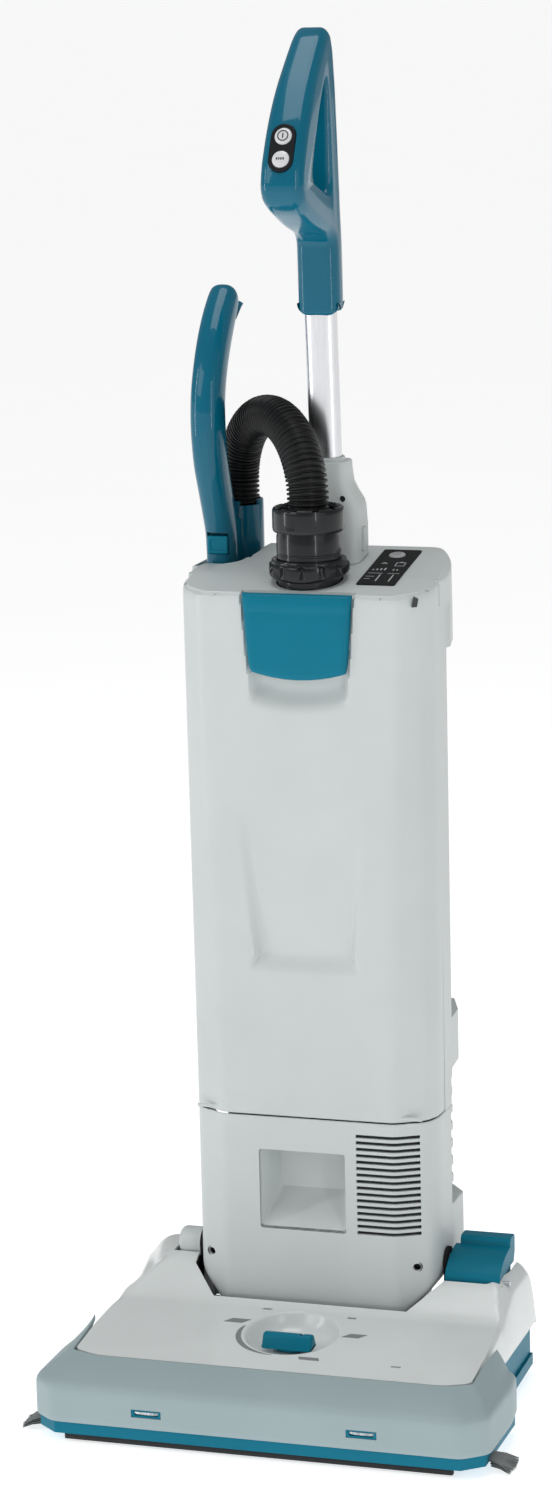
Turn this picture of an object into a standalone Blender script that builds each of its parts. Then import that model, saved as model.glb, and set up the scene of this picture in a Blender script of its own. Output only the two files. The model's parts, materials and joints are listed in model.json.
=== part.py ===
"""An upright vacuum cleaner for commercial floors: floor head, reclining body, hand wand and telescopic handle.

All lengths in this file are in millimetres and are scaled to metres as each mesh is made.
X runs across the machine, Y from the front to the back, Z up. The floor is z = 0.
Y is written from the middle of the wheelbase; CENTRE_Y then moves everything back, so
that the world origin is under the centre of the machine's box.
"""
import math

import bpy
from mathutils import Matrix, Vector

for old in list(bpy.data.objects):
    bpy.data.objects.remove(old)

MM = 0.001

# ---- driving dimensions, millimetres ----
GAP = 0.4
CENTRE_Y = 10.0
HEAD_HALF = 171.0
HEAD_REAR = 76.0
BUMPER_HALF = 190.0
BUMPER_FRONT = -170.0
BUMPER_BOTTOM = 18.0
BUMPER_RIDGE = 50.0
DECK_FRONT = (-128.0, 62.0)
DECK_REAR = (-15.0, 74.0)
SHOULDER_TOP = 100.0
PIVOT = (40.0, 106.0)
DRUM_R = 56.0
BODY_HALF = 104.0
BODY_FRONT = -4.0
SEAM_Z = 234.0
DOOR_TOP = 655.0
DOOR_BACK = 42.0
SHELL_BACK = 128.0
WALL = 2.6
BRUSH_AXIS = (-119.0, 27.0)
BRUSH_R = 24.0
PULLEY_AXIS = (-62.0, 30.0)
WHEEL_AXIS = (62.0, 36.0)
WHEEL_R = 36.0
KNOB = (0.0, -60.0)
DOOR_HINGE = (0.0, 238.6)
LATCH_HINGE = (-4.0, 662.0)
COVER_HINGE = (131.5, 334.0)
CUFF = (0.0, 34.0)
HOSE_R = 17.0
WAND_X = -95.0
SOCKET = (-89.0, 130.0)
TUBE_Y = 80.7
TUBE_Z = 884.5
TUBE_LEAN = math.radians(3.0)
PEDAL_HINGE = (25.0, 95.0)

MATERIALS = {
    "shell_grey": ((0.58, 0.61, 0.61), 0.45, 0.0),
    "cover_white": ((0.68, 0.70, 0.70), 0.35, 0.0),
    "bumper_blue_grey": ((0.34, 0.42, 0.44), 0.5, 0.0),
    "teal_gloss": ((0.0, 0.14, 0.21), 0.2, 0.0),
    "teal_matte": ((0.0, 0.14, 0.21), 0.45, 0.0),
    "black_plastic": ((0.02, 0.02, 0.022), 0.4, 0.0),
    "rubber": ((0.03, 0.03, 0.03), 0.8, 0.0),
    "hose_black": ((0.015, 0.015, 0.016), 0.45, 0.0),
    "aluminium": ((0.75, 0.76, 0.78), 0.3, 1.0),
    "steel": ((0.6, 0.6, 0.62), 0.3, 1.0),
    "bristle": ((0.3, 0.32, 0.32), 0.8, 0.0),
    "bag_cloth": ((0.75, 0.73, 0.68), 0.9, 0.0),
    "filter_media": ((0.8, 0.8, 0.76), 0.9, 0.0),
    "lamp_lens": ((0.85, 0.88, 0.9), 0.1, 0.0),
    "button_white": ((0.8, 0.8, 0.8), 0.4, 0.0),
    "board_green": ((0.02, 0.2, 0.08), 0.5, 0.0),
    "card": ((0.6, 0.5, 0.36), 0.9, 0.0),
}

SHIFT = Vector((0, CENTRE_Y, 0))
machine = bpy.data.collections.new("upright_vacuum_cleaner")
helpers = bpy.data.collections.new("cutters")
bpy.context.scene.collection.children.link(machine)
bpy.context.scene.collection.children.link(helpers)
helpers.hide_render = True


def paint(obj, finish):
    colour, rough, metal = MATERIALS[finish]
    mat = bpy.data.materials.new(obj.name)
    mat.use_nodes = True
    shader = mat.node_tree.nodes["Principled BSDF"]
    shader.inputs["Base Color"].default_value = (*colour, 1.0)
    shader.inputs["Roughness"].default_value = rough
    shader.inputs["Metallic"].default_value = metal
    mat.diffuse_color = (*colour, 1.0)
    obj.data.materials.clear()
    obj.data.materials.append(mat)


def place(obj, finish):
    """A finish makes the object a sub-part; None makes it a cutter or a piece to be joined."""
    if finish:
        machine.objects.link(obj)
        paint(obj, finish)
    else:
        helpers.objects.link(obj)
        obj.hide_render = True
        obj.display_type = "WIRE"
    return obj


def mesh_object(name, points, faces, finish, origin=(0, 0, 0)):
    base = Vector(origin)
    mesh = bpy.data.meshes.new(name)
    mesh.from_pydata([(Vector(p) - base) * MM for p in points], [], faces)
    mesh.update()
    obj = bpy.data.objects.new(name, mesh)
    obj.location = (base + SHIFT) * MM
    return place(obj, finish)


def bevel(obj, width, segments=2, angle=35):
    mod = obj.modifiers.new("edges", "BEVEL")
    mod.width = width * MM
    mod.segments = segments
    mod.limit_method = "ANGLE"
    mod.angle_limit = math.radians(angle)
    return obj


def prism(name, outline, axis, low, high, finish=None, origin=(0, 0, 0)):
    """A flat outline given thickness along axis: x takes (y, z) points, y takes (x, z), z takes (x, y)."""
    area = 0.0
    for (a, b), (c, d) in zip(outline, outline[1:] + outline[:1]):
        area += a * d - b * c
    facing = area > 0
    if axis == "y":
        facing = not facing
    ring = outline if facing else outline[::-1]
    if axis == "x":
        points = [(low, a, b) for a, b in ring]
    elif axis == "y":
        points = [(a, low, b) for a, b in ring]
    else:
        points = [(a, b, low) for a, b in ring]
    obj = mesh_object(name, points, [tuple(range(len(ring)))], finish, origin)
    mod = obj.modifiers.new("thickness", "SOLIDIFY")
    mod.thickness = (high - low) * MM
    mod.offset = 1.0
    return obj


def box(name, low, high, finish=None, origin=None):
    centre = [(a + b) / 2 for a, b in zip(low, high)]
    base = centre if origin is None else origin
    outline = [(low[0], low[1]), (high[0], low[1]), (high[0], high[1]), (low[0], high[1])]
    return prism(name, outline, "z", low[2], high[2], finish, base)


def lathe(name, profile, centre, axis=(0, 0, 1), steps=32, finish=None, closed=False):
    """A profile of (radius, height) points, listed from top to bottom, turned about axis."""
    points = [(r, 0, h) for r, h in profile]
    edges = [(i, i + 1) for i in range(len(points) - 1)]
    if closed:
        edges.append((len(points) - 1, 0))
    mesh = bpy.data.meshes.new(name)
    mesh.from_pydata([Vector(p) * MM for p in points], edges, [])
    obj = bpy.data.objects.new(name, mesh)
    obj.location = (Vector(centre) + SHIFT) * MM
    obj.rotation_mode = "QUATERNION"
    obj.rotation_quaternion = Vector((0, 0, 1)).rotation_difference(Vector(axis))
    mod = obj.modifiers.new("turn", "SCREW")
    mod.steps = steps
    mod.render_steps = steps
    mod.use_merge_vertices = True
    mod.merge_threshold = 0.00005
    mod.use_smooth_shade = False
    return place(obj, finish)


def cylinder(name, centre, radius, half, axis=(0, 0, 1), steps=32, finish=None):
    profile = [(0, half), (radius, half), (radius, -half), (0, -half)]
    return lathe(name, profile, centre, axis, steps, finish)


def loft(name, rings, finish=None, origin=(0, 0, 0)):
    """Walls between rings of equal point count, closed at both ends; rings run upwards, anticlockwise from above."""
    n = len(rings[0])
    points = [p for ring in rings for p in ring]
    faces = [tuple(reversed(range(n)))]
    for k in range(len(rings) - 1):
        for i in range(n):
            j = (i + 1) % n
            faces.append((k * n + i, k * n + j, (k + 1) * n + j, (k + 1) * n + i))
    last = (len(rings) - 1) * n
    faces.append(tuple(range(last, last + n)))
    return mesh_object(name, points, faces, finish, origin)


def boolean(obj, other, operation):
    mod = obj.modifiers.new(operation.lower(), "BOOLEAN")
    mod.operation = operation
    mod.solver = "EXACT"
    mod.object = other
    return obj


def cut(obj, *others):
    for other in others:
        boolean(obj, other, "DIFFERENCE")
    return obj


def join(obj, *others):
    for other in others:
        boolean(obj, other, "UNION")
    return obj


def keep(obj, other):
    return boolean(obj, other, "INTERSECT")


def both_sides(right_half):
    """A symmetric outline from its right-hand half, listed from the front to the back."""
    return right_half + [(-x, y) for x, y in reversed(right_half)]


def arc(centre, radius, start, end, steps):
    found = []
    for i in range(steps + 1):
        angle = math.radians(start + (end - start) * i / steps)
        found.append((centre[0] + radius * math.cos(angle), centre[1] + radius * math.sin(angle)))
    return found


def oval(half_x, half_y, count, power=2.6):
    found = []
    for i in range(count):
        angle = 2 * math.pi * (i + 0.5) / count
        c, s = math.cos(angle), math.sin(angle)
        x = half_x * math.copysign(abs(c) ** (2 / power), c)
        y = half_y * math.copysign(abs(s) ** (2 / power), s)
        found.append((x, y))
    return found


def sweep(name, stations, finish=None, origin=(0, 0, 0)):
    """Oval rings along a path: each station is centre, direction, half width across X, half depth."""
    rings = []
    for centre, way, half_x, half_d in stations:
        way = Vector(way).normalized()
        side = Vector((1, 0, 0))
        side = (side - way * side.dot(way)).normalized()
        back = way.cross(side)
        ring = []
        for a, b in oval(half_x, half_d, 16):
            ring.append(tuple(Vector(centre) + side * a + back * b))
        rings.append(ring)
    return loft(name, rings, finish, origin)


def tube_frame(height):
    """The point on the leaning handle tube's axis at this height above the floor."""
    return (0.0, TUBE_Y - (height - TUBE_Z) * math.tan(TUBE_LEAN), height)


# ============================ floor head ============================
deck_slope = (DECK_REAR[1] - DECK_FRONT[1]) / (DECK_REAR[0] - DECK_FRONT[0])
cover_half = [(145.5, -128), (165.5, -121), (166, -74), (HEAD_HALF, -58), (HEAD_HALF, HEAD_REAR)]
cover_outline = both_sides(cover_half)

base_low = both_sides([(169, -167), (186, -153), (187, -62), (HEAD_HALF - 1, -52), (HEAD_HALF - 3, HEAD_REAR)])
base_high = both_sides([(164, -163), (181, -149), (182, -66), (HEAD_HALF - 4, -56), (HEAD_HALF - 5, HEAD_REAR - 1)])
base_inner = both_sides([(160, -159), (177, -146), (178, -69), (163, -56), (163, HEAD_REAR - 5)])
head_base = prism("head_base", base_low, "z", 8, 17.6, "teal_matte")
join(head_base, prism("base_walls", base_high, "z", 16, 45.6))
cut(head_base, prism("base_room", base_inner, "z", 12, 60))
cut(head_base, box("brush_mouth", (-152, -146, 0), (152, -92, 20)))
for side in (-1, 1):
    for name, low, high in (("inner", 108, 112), ("outer", 144, 148)):
        low, high = sorted((side * low, side * high))
        join(head_base, box(f"axle_rib_{name}_{side}", (low, 22, 10), (high, HEAD_REAR - 3, 45.6)))
    low, high = sorted((side * 112, side * 144))
    cut(head_base, box(f"wheel_room_{side}", (low, 20, 0), (high, 90, 70)))
cut(head_base, cylinder("axle_bore", (0, WHEEL_AXIS[0], WHEEL_AXIS[1]), 4.3, 150, (1, 0, 0), 16))
cut(head_base, box("heel_room", (-106.5, 50, 36), (106.5, 90, 60)))
for side in (-1, 1):
    low, high = sorted((side * 104, side * 108))
    cut(head_base, box(f"bracket_room_{side}", (low, 28, 11.9), (high, 53, 13)))

profile = [
    (DECK_FRONT[0] - 4, 46),
    (DECK_FRONT[0] - 4, DECK_FRONT[1] - 4 * deck_slope),
    DECK_REAR,
    (-8, 79),
    (18, 97),
    (26, SHOULDER_TOP),
    (64, SHOULDER_TOP),
    (HEAD_REAR + 2, 86),
    (HEAD_REAR + 2, 46),
]
head_cover = prism("head_cover", profile, "x", -180, 180, "cover_white")
keep(head_cover, prism("cover_sides", cover_outline, "z", 40, 130))
bevel(head_cover, 3.0, 2, 30)
front_room = both_sides([(143, -125), (162.5, -118.5), (163, -72), (163, -26)])
under_deck = [(-140, 40), (-140, 58), (-126, 59.3), (-26, 69.7), (-26, 40)]
room = prism("deck_room", under_deck, "x", -175, 175)
keep(room, prism("deck_room_sides", front_room, "z", 30, 120))
cut(room, cylinder("dish_block", (KNOB[0], KNOB[1], 60), 42, 14, steps=48))
cut(head_cover, room)
for side in (-1, 1):
    low, high = sorted((side * 111, side * 168))
    cut(head_cover, box(f"shoulder_room_{side}", (low, -24, 40), (high, HEAD_REAR - 3, 70)))
    low, high = sorted((side * 111, side * 166))
    cut(head_cover, box(f"shoulder_top_{side}", (low, 20, 60), (high, HEAD_REAR - 5, 85)))
    low, high = sorted((side * 112, side * 144))
    cut(head_cover, box(f"wheel_slot_{side}", (low, 60, 40), (high, 90, 76)))
cone = [(0, 107.5), (26, 107.5), (DRUM_R + 2.4, 83), (DRUM_R + 2.4, -83), (26, -107.5), (0, -107.5)]
cut(head_cover, lathe("drum_room", cone, (0, PIVOT[0], PIVOT[1]), (1, 0, 0), 48))
cut(head_cover, box("body_room", (-107.5, 20, 40), (107.5, 100, 140)))
dish = [(0, 30), (46, 30), (39.5, 69 - 62), (37.5, 66 - 62), (30, 59 - 62), (20, 56.5 - 62), (0, 56 - 62)]
cut(head_cover, lathe("dish_room", dish, (KNOB[0], KNOB[1], 62), steps=48))
cut(head_cover, cylinder("knob_bore", (KNOB[0], KNOB[1], 50), 5.3, 20, steps=20))
cut(head_cover, box("pedal_room", (100, 17.5, 88), (155.4, 90, 130)))
cut(head_cover, cylinder("pedal_pin_bore", (130, PEDAL_HINGE[0], PEDAL_HINGE[1]), 2.3, 33, (1, 0, 0), 16))
cut(head_cover, cylinder("cap_trough", (-118, PIVOT[0], PIVOT[1]), 12.8, 12, (1, 0, 0), 32))

outer = both_sides([(171.5, -170), (190, -155), (191.5, -82), (188, -60)])
inner = both_sides([(145.5, -128.5), (166, -121.5), (166.6, -76), (170, -60)])
ring_low = [(x, y, BUMPER_BOTTOM) for x, y in outer]
ring_mid = [(x, y, BUMPER_RIDGE) for x, y in outer]
ring_top = [(x, y, DECK_FRONT[1] - 1 + (y - DECK_FRONT[0]) * deck_slope) for x, y in inner]
front_bumper = loft("front_bumper", [ring_low, ring_mid, ring_top], "bumper_blue_grey")
bevel(front_bumper, 2.5, 2, 30)
clear = both_sides([(145.7, -128.6), (166, -121.5), (166.6, -74.3), (HEAD_HALF + GAP + 0.2, -58), (HEAD_HALF + GAP, 90)])
cut(front_bumper, prism("cover_clear", clear, "z", 40, 90))
low_clear = both_sides([(164.5, -163.6), (181.6, -149.3), (182.6, -65), (171.6, -55.5), (171.6, 90)])
cut(front_bumper, prism("base_clear", low_clear, "z", 10, 46.2))
roll_room = cylinder("roll_room", (0, BRUSH_AXIS[0], BRUSH_AXIS[1]), BRUSH_R + 1.6, 148, (1, 0, 0), 40)
cut(front_bumper, roll_room)
cut(head_cover, roll_room)
for side in (-1, 1):
    name = "left" if side < 0 else "right"
    x = side * 89.5
    cut(front_bumper, box(f"lamp_room_{name}", (x - 12.4, -180, 28.2), (x + 12.4, -160, 34.8)))
    lamp = box(f"lamp_{name}", (x - 12, -168.6, 28.6), (x + 12, -164, 34.4), "lamp_lens")
    bevel(lamp, 0.8, 1)

felt_strip = box("felt_strip", (-162, -164, 2), (162, -158, 7.7), "rubber")
for side in (-1, 1):
    name = "left" if side < 0 else "right"
    x = side * 1.0
    fan = [(x * 187.5, -146), (x * 187.5, -128), (x * 206, -116), (x * 203, -150)]
    bristles = prism(f"side_bristles_{name}", fan, "z", 1.0, 12.0, "bristle")
    low, high = sorted((side * 138, side * 158))
    glide = box(f"glide_{name}", (low, -156.5, 0), (high, -147, 7.6), "black_plastic")
    bevel(glide, 1.2, 1)

axis_x = (1, 0, 0)
bx = (0, BRUSH_AXIS[0], BRUSH_AXIS[1])
roll_profile = [
    (0, 155), (5, 155), (5, 147.5), (19, 147.5), (19, -146), (8, -146), (8, -150),
    (12, -150), (12, -158), (0, -158),
]
brush_roll = lathe("brush_roll", roll_profile, bx, axis_x, 24, "rubber")
for k in range(2):
    rings = []
    for i in range(17):
        x = -143 + 286 * i / 16
        turn = math.pi * k + 2.2 * abs(i - 8) / 8
        row = []
        for a, r in ((-0.16, 15), (0.16, 15), (0.1, BRUSH_R), (-0.1, BRUSH_R)):
            row.append((x, bx[1] + r * math.cos(turn + a), bx[2] + r * math.sin(turn + a)))
        rings.append(row)
    join(brush_roll, loft(f"bristle_row_{k}", rings))
for side in (-1, 1):
    name = "left" if side < 0 else "right"
    low, high = sorted((side * 146.8, side * 149.7)) if side < 0 else (148, 152.5)
    bearing = box(f"brush_bearing_{name}", (low, bx[1] - 11, 21), (high, bx[1] + 11, 44), "black_plastic")
    bearing_bore = 8.05 if side < 0 else 5.05
    cut(bearing, cylinder(f"bearing_bore_{name}", (side * 149, bx[1], bx[2]), bearing_bore, 6, axis_x, 32))
    cut(bearing, box(f"bearing_mouth_{name}", (low - 1, bx[1] - 4, 0), (high + 1, bx[1] + 4, 22.5)))
px = PULLEY_AXIS
brush_motor = cylinder("brush_motor", (-102, px[0], px[1]), 15.5, 40, axis_x, 32, "steel")
pulley_profile = [(0, 6), (4, 6), (4, 2), (9, 2), (9, -8), (0, -8)]
motor_pulley = lathe("motor_pulley", pulley_profile, (-149.0, px[0], px[1]), axis_x, 24, "steel")
# the belt: an outer racetrack less an inner one, clear of both pulleys
far, near = (BRUSH_AXIS[0], BRUSH_AXIS[1]), PULLEY_AXIS
swing = math.degrees(math.atan2(near[1] - far[1], near[0] - far[0]))


def racetrack(extra):
    front = arc(far, 12 + extra, swing + 86, swing + 274, 12)
    back = arc(near, 9 + extra, swing - 94, swing + 94, 10)
    return front + back


drive_belt = prism("drive_belt", racetrack(2.4), "x", -157, -151, "rubber")
cut(drive_belt, prism("belt_room", racetrack(0.35), "x", -160, -148))

for side in (-1, 1):
    name = "left" if side < 0 else "right"
    wheel = [
        (4.2, 10.6), (12, 10.6), (14, 8), (29, 8), (31, 11), (34, 11), (36, 8.5),
        (36, -8.5), (34, -11), (31, -11), (29, -8), (14, -8), (12, -10.6), (4.2, -10.6),
    ]
    centre = (side * 128, WHEEL_AXIS[0], WHEEL_AXIS[1])
    lathe(f"rear_wheel_{name}", wheel, centre, axis_x, 32, "rubber", closed=True)
cylinder("rear_axle", (0, WHEEL_AXIS[0], WHEEL_AXIS[1]), 4.15, 147.5, axis_x, 20, "steel")

knob_profile = [(0, 6.5), (14, 6.5), (15, 5.5), (15, 0), (4.9, 0), (4.9, -9), (0, -9)]
height_knob = lathe("height_knob", knob_profile, (KNOB[0], KNOB[1], 57.3), steps=32, finish="teal_matte")
grip = [(KNOB[1] - 18, 59.6), (KNOB[1] - 13, 71.5), (KNOB[1] - 8, 72.5), (KNOB[1] - 2, 62), (KNOB[1] - 2, 59.6)]
join(height_knob, bevel(prism("knob_grip", grip, "x", -21, 21), 1.0, 1))

pedal_side = [
    (19, 91.4), (19, 100.5), (22, 103), (40, 112), (57, 118.6), (61, 122.8),
    (72, 122.8), (72, 112), (68, 99), (28, 91.0),
]
foot_pedal = prism("foot_pedal", pedal_side, "x", 107.9, 154.9, "teal_matte", (130, *PEDAL_HINGE))
bevel(foot_pedal, 1.2, 1)
cut(foot_pedal, cylinder("pedal_bore", (130, PEDAL_HINGE[0], PEDAL_HINGE[1]), 2.2, 40, axis_x, 16))
cylinder("pedal_pin", (135.5, PEDAL_HINGE[0], PEDAL_HINGE[1]), 2.1, 26.5, axis_x, 16, "steel")

for side in (-1, 1):
    name = "left" if side < 0 else "right"
    low, high = sorted((side * 104.6, side * 107.0))
    plate = [(29, 12.4), (52, 12.4), (52, 106)] + arc(PIVOT, 12, 0, 180, 10) + [(29, 106)]
    bracket = prism(f"pivot_bracket_{name}", plate, "x", low, high, "steel")
    cut(bracket, cylinder(f"bracket_bore_{name}", (side * 106, *PIVOT), 6.1, 5, axis_x, 24))
cap = [(0, 9.6), (9, 9.6), (12, 7), (12, -9.6), (6.3, -9.6), (6.3, -2), (0, -2)]
lathe("pivot_cap_left", cap, (-117.2, *PIVOT), (-1, 0, 0), 32, "shell_grey")
cylinder("pivot_shaft", (-3.9, *PIVOT), 6.0, 110.9, axis_x, 24, "steel")

# ============================ upright body ============================
def body_outline(flat, half, back, front=BODY_FRONT):
    return both_sides([(flat, front), (half - 5.5, front + 14), (half, front + 30), (half, back)])


housing_front = body_outline(73, BODY_HALF, 62)
bottom = arc(PIVOT, DRUM_R, 218, 297, 10)
housing_side = [(-10, SEAM_Z - 0.3), (-10, 80), (-5, 74)] + bottom + [(70, 60), (70, SEAM_Z - 0.3)]
motor_housing = prism("motor_housing", housing_front, "z", 30, SEAM_Z - 0.3, "shell_grey")
keep(motor_housing, prism("housing_profile", housing_side, "x", -120, 120))
corner = both_sides([(81, 40), (81, 71), (104.2, 95), (104.2, 250)])
keep(motor_housing, prism("housing_face", corner, "y", -20, 90))
bevel(motor_housing, 1.5, 1, 30)
housing_room = prism("housing_room", body_outline(71, BODY_HALF - WALL, 80, BODY_FRONT + WALL), "z", 84, SEAM_Z - 3)
cut(housing_room, box("recess_block", (-47, -20, 133), (35, 33, 209)))
cut(motor_housing, housing_room)
recess = prism("grip_recess", [(-10, 137), (-4, 137), (30, 164), (30, 205), (-10, 205)], "x", -43, 31)
cut(motor_housing, recess)
slots = box("vent_slots", (40.5, -12, 137.6), (92.5, 4.5, 140.4))
rows = slots.modifiers.new("rows", "ARRAY")
rows.count = 16
rows.use_relative_offset = False
rows.use_constant_offset = True
rows.constant_offset_displace = (0, 0, 5.5 * MM)
cut(motor_housing, slots)
for side in (-1, 1):
    cut(motor_housing, cylinder(f"screw_well_{side}", (side * 88.5, 6, 110.5), 3.0, 14, (0, 1, 0), 16))
cut(motor_housing, cylinder("shaft_bore", (0, *PIVOT), 6.2, 120, axis_x, 24))

door_low = body_outline(73, BODY_HALF, DOOR_BACK)
door_high = body_outline(83, BODY_HALF + 1.5, DOOR_BACK)
rings = []
for outline, z, slope in ((door_low, SEAM_Z + 0.4, 0.0), (door_high, DOOR_TOP, 0.1)):
    rings.append([(x, y, z - slope * (y - BODY_FRONT)) for x, y in outline])
bag_door = loft("bag_door", rings, "shell_grey", (0, *DOOR_HINGE))
bevel(bag_door, 1.5, 1, 40)
door_in_low = body_outline(71, BODY_HALF - WALL, 80, BODY_FRONT + WALL)
door_in_high = body_outline(81, BODY_HALF + 1.5 - WALL, 80, BODY_FRONT + WALL)
rings = [[(x, y, 245) for x, y in door_in_low], [(x, y, 647) for x, y in door_in_high]]
door_room = loft("door_room", rings)
cut(door_room, box("latch_block", (-50, -20, 570), (50, 11, 660)))
cut(bag_door, door_room)
# the floor stops at the hinge, so that it swings clear of the filter and the bag
floor_room = both_sides([(88, 8), (95.9, 12.6), (BODY_HALF - WALL, 28.6), (BODY_HALF - WALL, 60)])
cut(bag_door, prism("floor_room", floor_room, "z", 225, 246))
cut(bag_door, prism("hem_cut", [(-10, 230), (3.0, 230), (-10, 243)], "x", -120, 120))
cut(bag_door, box("latch_seat", (-47, -20, 598), (47, -0.9, 670)))
scoop = prism("finger_scoop", [(-10, 574), (-4, 575), (4, 583), (7, 592), (7, 603), (-10, 603)], "x", -41, 41)
cut(bag_door, scoop)
panel_step = prism("panel_step", [(-10, 361), (-4.2, 361), (-2.8, 371), (-4.2, 470), (-10, 470)], "x", -48, 48)
cut(bag_door, panel_step)
cut(bag_door, cylinder("door_port", (*CUFF, 651), 22, 9, steps=28))
cut(bag_door, cylinder("door_bore", (0, *DOOR_HINGE), 1.9, 120, axis_x, 16))
cylinder("door_hinge_pin", (0, *DOOR_HINGE), 1.6, 96, axis_x, 16, "steel")

latch_side = [
    (-5.5, 600.5), (-8.4, 603), (-8.6, 646), (-7.6, 664), (-4.5, 669.6), (-1.4, 669.6), (-1.4, 604), (-3, 600.5),
]
door_latch = prism("door_latch", latch_side, "x", -46, 46, "teal_matte", (0, *LATCH_HINGE))
taper = both_sides([(39, 598), (40.6, 607), (45.6, 672)])
keep(door_latch, prism("latch_face", taper, "y", -20, 10))
bevel(door_latch, 0.8, 1)

# the rear shell: bag chamber in front, handle channel between two battery bays behind
back_half = [(BODY_HALF + 0.5, DOOR_BACK + 0.4), (BODY_HALF + 0.5, 66), (92, 100), (84, SHELL_BACK)]
rear_shell = prism("rear_shell", both_sides(back_half), "z", 262, 655, "shell_grey")
wide_half = [(BODY_HALF + 0.5, 60), (BODY_HALF + 2.5, 72), (100, 104), (86, SHELL_BACK + 3)]
join(rear_shell, prism("top_swell", both_sides(wide_half), "z", 618, 655))
join(rear_shell, prism("low_swell", both_sides([(BODY_HALF, 64), (101.5, 98), (90, SHELL_BACK + 2)]), "z", 263, 306))
lower_side = both_sides([(BODY_HALF + 0.5, DOOR_BACK + 0.4), (BODY_HALF + 0.5, 63)])
join(rear_shell, prism("side_skirt", lower_side, "z", SEAM_Z + 0.4, 264))
bevel(rear_shell, 2.0, 1, 30)
cut(rear_shell, box("bag_room", (-100, 30, 244), (100, 66, 648)))
cut(rear_shell, cylinder("shell_port", (*CUFF, 651), 22, 9, steps=28))
cut(rear_shell, box("battery_room", (-66, 71, 340), (66, 140, 508)))
cut(rear_shell, box("rear_void_low", (-66, 71, 225), (66, 120, 332)))
cut(rear_shell, box("rear_void_high", (-62, 71, 516), (62, 120, 670)))
for side in (-1, 1):
    low, high = sorted((side * 70, side * 88))
    cut(rear_shell, box(f"side_void_{side}", (low, 71, 225), (high, 96, 648)))
cut(rear_shell, box("tube_channel", (-16.5, 84, 330), (16.5, 117, 520)))
cut(rear_shell, box("cover_seat", (-74.6, SHELL_BACK - 9, 331.6), (74.6, 150, 516.4)))
cut(rear_shell, box("holder_seat", (-130, 84.4, 559), (-65.6, 180, 700)))

cover_face = [(-74, 332), (74, 332), (74, 516), (-74, 516)]
battery_cover = prism("battery_cover", cover_face, "y", SHELL_BACK - 8.4, SHELL_BACK + 5, "shell_grey",
                      (0, *COVER_HINGE))
bevel(battery_cover, 2.0, 2)
cut(battery_cover, box("cover_room", (-68, 100, 340), (68, SHELL_BACK + 2, 508)))
for side in (-1, 1):
    name = "left" if side < 0 else "right"
    low, high = sorted((side * 20, side * 64))
    battery = box(f"battery_{name}", (low, 72.5, 346), (high, 124, 500), "black_plastic")
    bevel(battery, 3.0, 2)

# exhaust cover with ribs, and the lower rear bulge
grille_half = [(91.5, 63.4), (91.5, 102), (84, 118)]
exhaust_grille = prism("exhaust_grille", both_sides(grille_half), "z", 147.4, 261.4, "shell_grey")
rib_half = [(94.2, 66), (94.2, 103.5), (86, 121)]
ribs = prism("grille_ribs", both_sides(rib_half), "z", 153, 161)
rib_rows = ribs.modifiers.new("rows", "ARRAY")
rib_rows.count = 7
rib_rows.use_relative_offset = False
rib_rows.use_constant_offset = True
rib_rows.constant_offset_displace = (0, 0, 15.2 * MM)
join(exhaust_grille, ribs)
cut(exhaust_grille, prism("grille_room", both_sides([(88, 50), (88, 100), (81, 114.6)]), "z", 151, 270))
bulge_half = [(BODY_HALF - 0.5, 63.4), (103.5, 100), (88, 120)]
rear_base = prism("rear_base", both_sides(bulge_half), "z", 100, 147, "shell_grey")
slant = [(60, 56), (60, 147), (121, 147), (121, 128), (104, 112), (80, 96), (70, 60)]
keep(rear_base, prism("base_slant", slant, "x", -120, 120))
bevel(rear_base, 2.0, 1, 30)
cut(rear_base, box("base_room_2", (-95, 50, 104), (95, 100, 143)))
tail = [(63.4, 58)] + [(63.4, 100.5), (78, 100.5)] + arc(PIVOT, DRUM_R - 1, -10, -60, 6)
join(rear_base, prism("base_heel", tail, "x", -81, 81))

# the top cover slopes down to the front
top_half = [(83, BODY_FRONT), (BODY_HALF - 4, 10), (BODY_HALF + 1.5, 28), (BODY_HALF + 2.5, 72), (100, 104)]
top_outline = both_sides(top_half + [(86, SHELL_BACK + 3)])
top_cover = prism("top_cover", top_outline, "z", DOOR_TOP + 0.4, 700, "shell_grey")
top_profile = [(-10, 650), (-10, 669), (-4, 670), (118, 690), (125, 689), (140, 672), (140, 650)]
keep(top_cover, prism("top_slope", top_profile, "x", -120, 120))
top_room = prism("top_room", [(0, 640), (0, 667), (112, 684), (122, 682), (122, 640)], "x", -98, 98)
cut(top_room, cylinder("flange_block", (*CUFF, 660), 36, 40))
cut(top_room, box("latch_top_block", (-52, -10, 640), (52, 12, 680)))
cut(top_room, box("holder_block", (-120, 80, 640), (-62, 140, 700)))
cut(top_cover, top_room)
cut(top_cover, box("latch_slot", (-47, -20, 640), (47, 8.5, 675)))
cut(top_cover, box("holder_notch", (-130, 84.4, 640), (-65.6, 180, 720)))
cut(top_cover, cylinder("inlet_bore", (*CUFF, 660), 27.2, 60, steps=40))
cut(top_cover, box("tube_slot", (-15, 78, 640), (15, 106, 720)))
slope = math.atan2(20, 122)
up_slope = Vector((0, -math.sin(slope), math.cos(slope)))


def top_z(y):
    return 670 + (y + 4) * math.tan(slope)


def on_slope(name, x0, x1, y0, y1, low, high, finish=None, origin=(0, 0, 0)):
    """A block on the sloping top, from low to high above the surface."""
    rings = []
    for lift in (low, high):
        ring = []
        for x, y in ((x0, y0), (x1, y0), (x1, y1), (x0, y1)):
            ring.append(tuple(Vector((x, y, top_z(y))) + up_slope * lift))
        rings.append(ring)
    return loft(name, rings, finish, origin)


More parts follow.
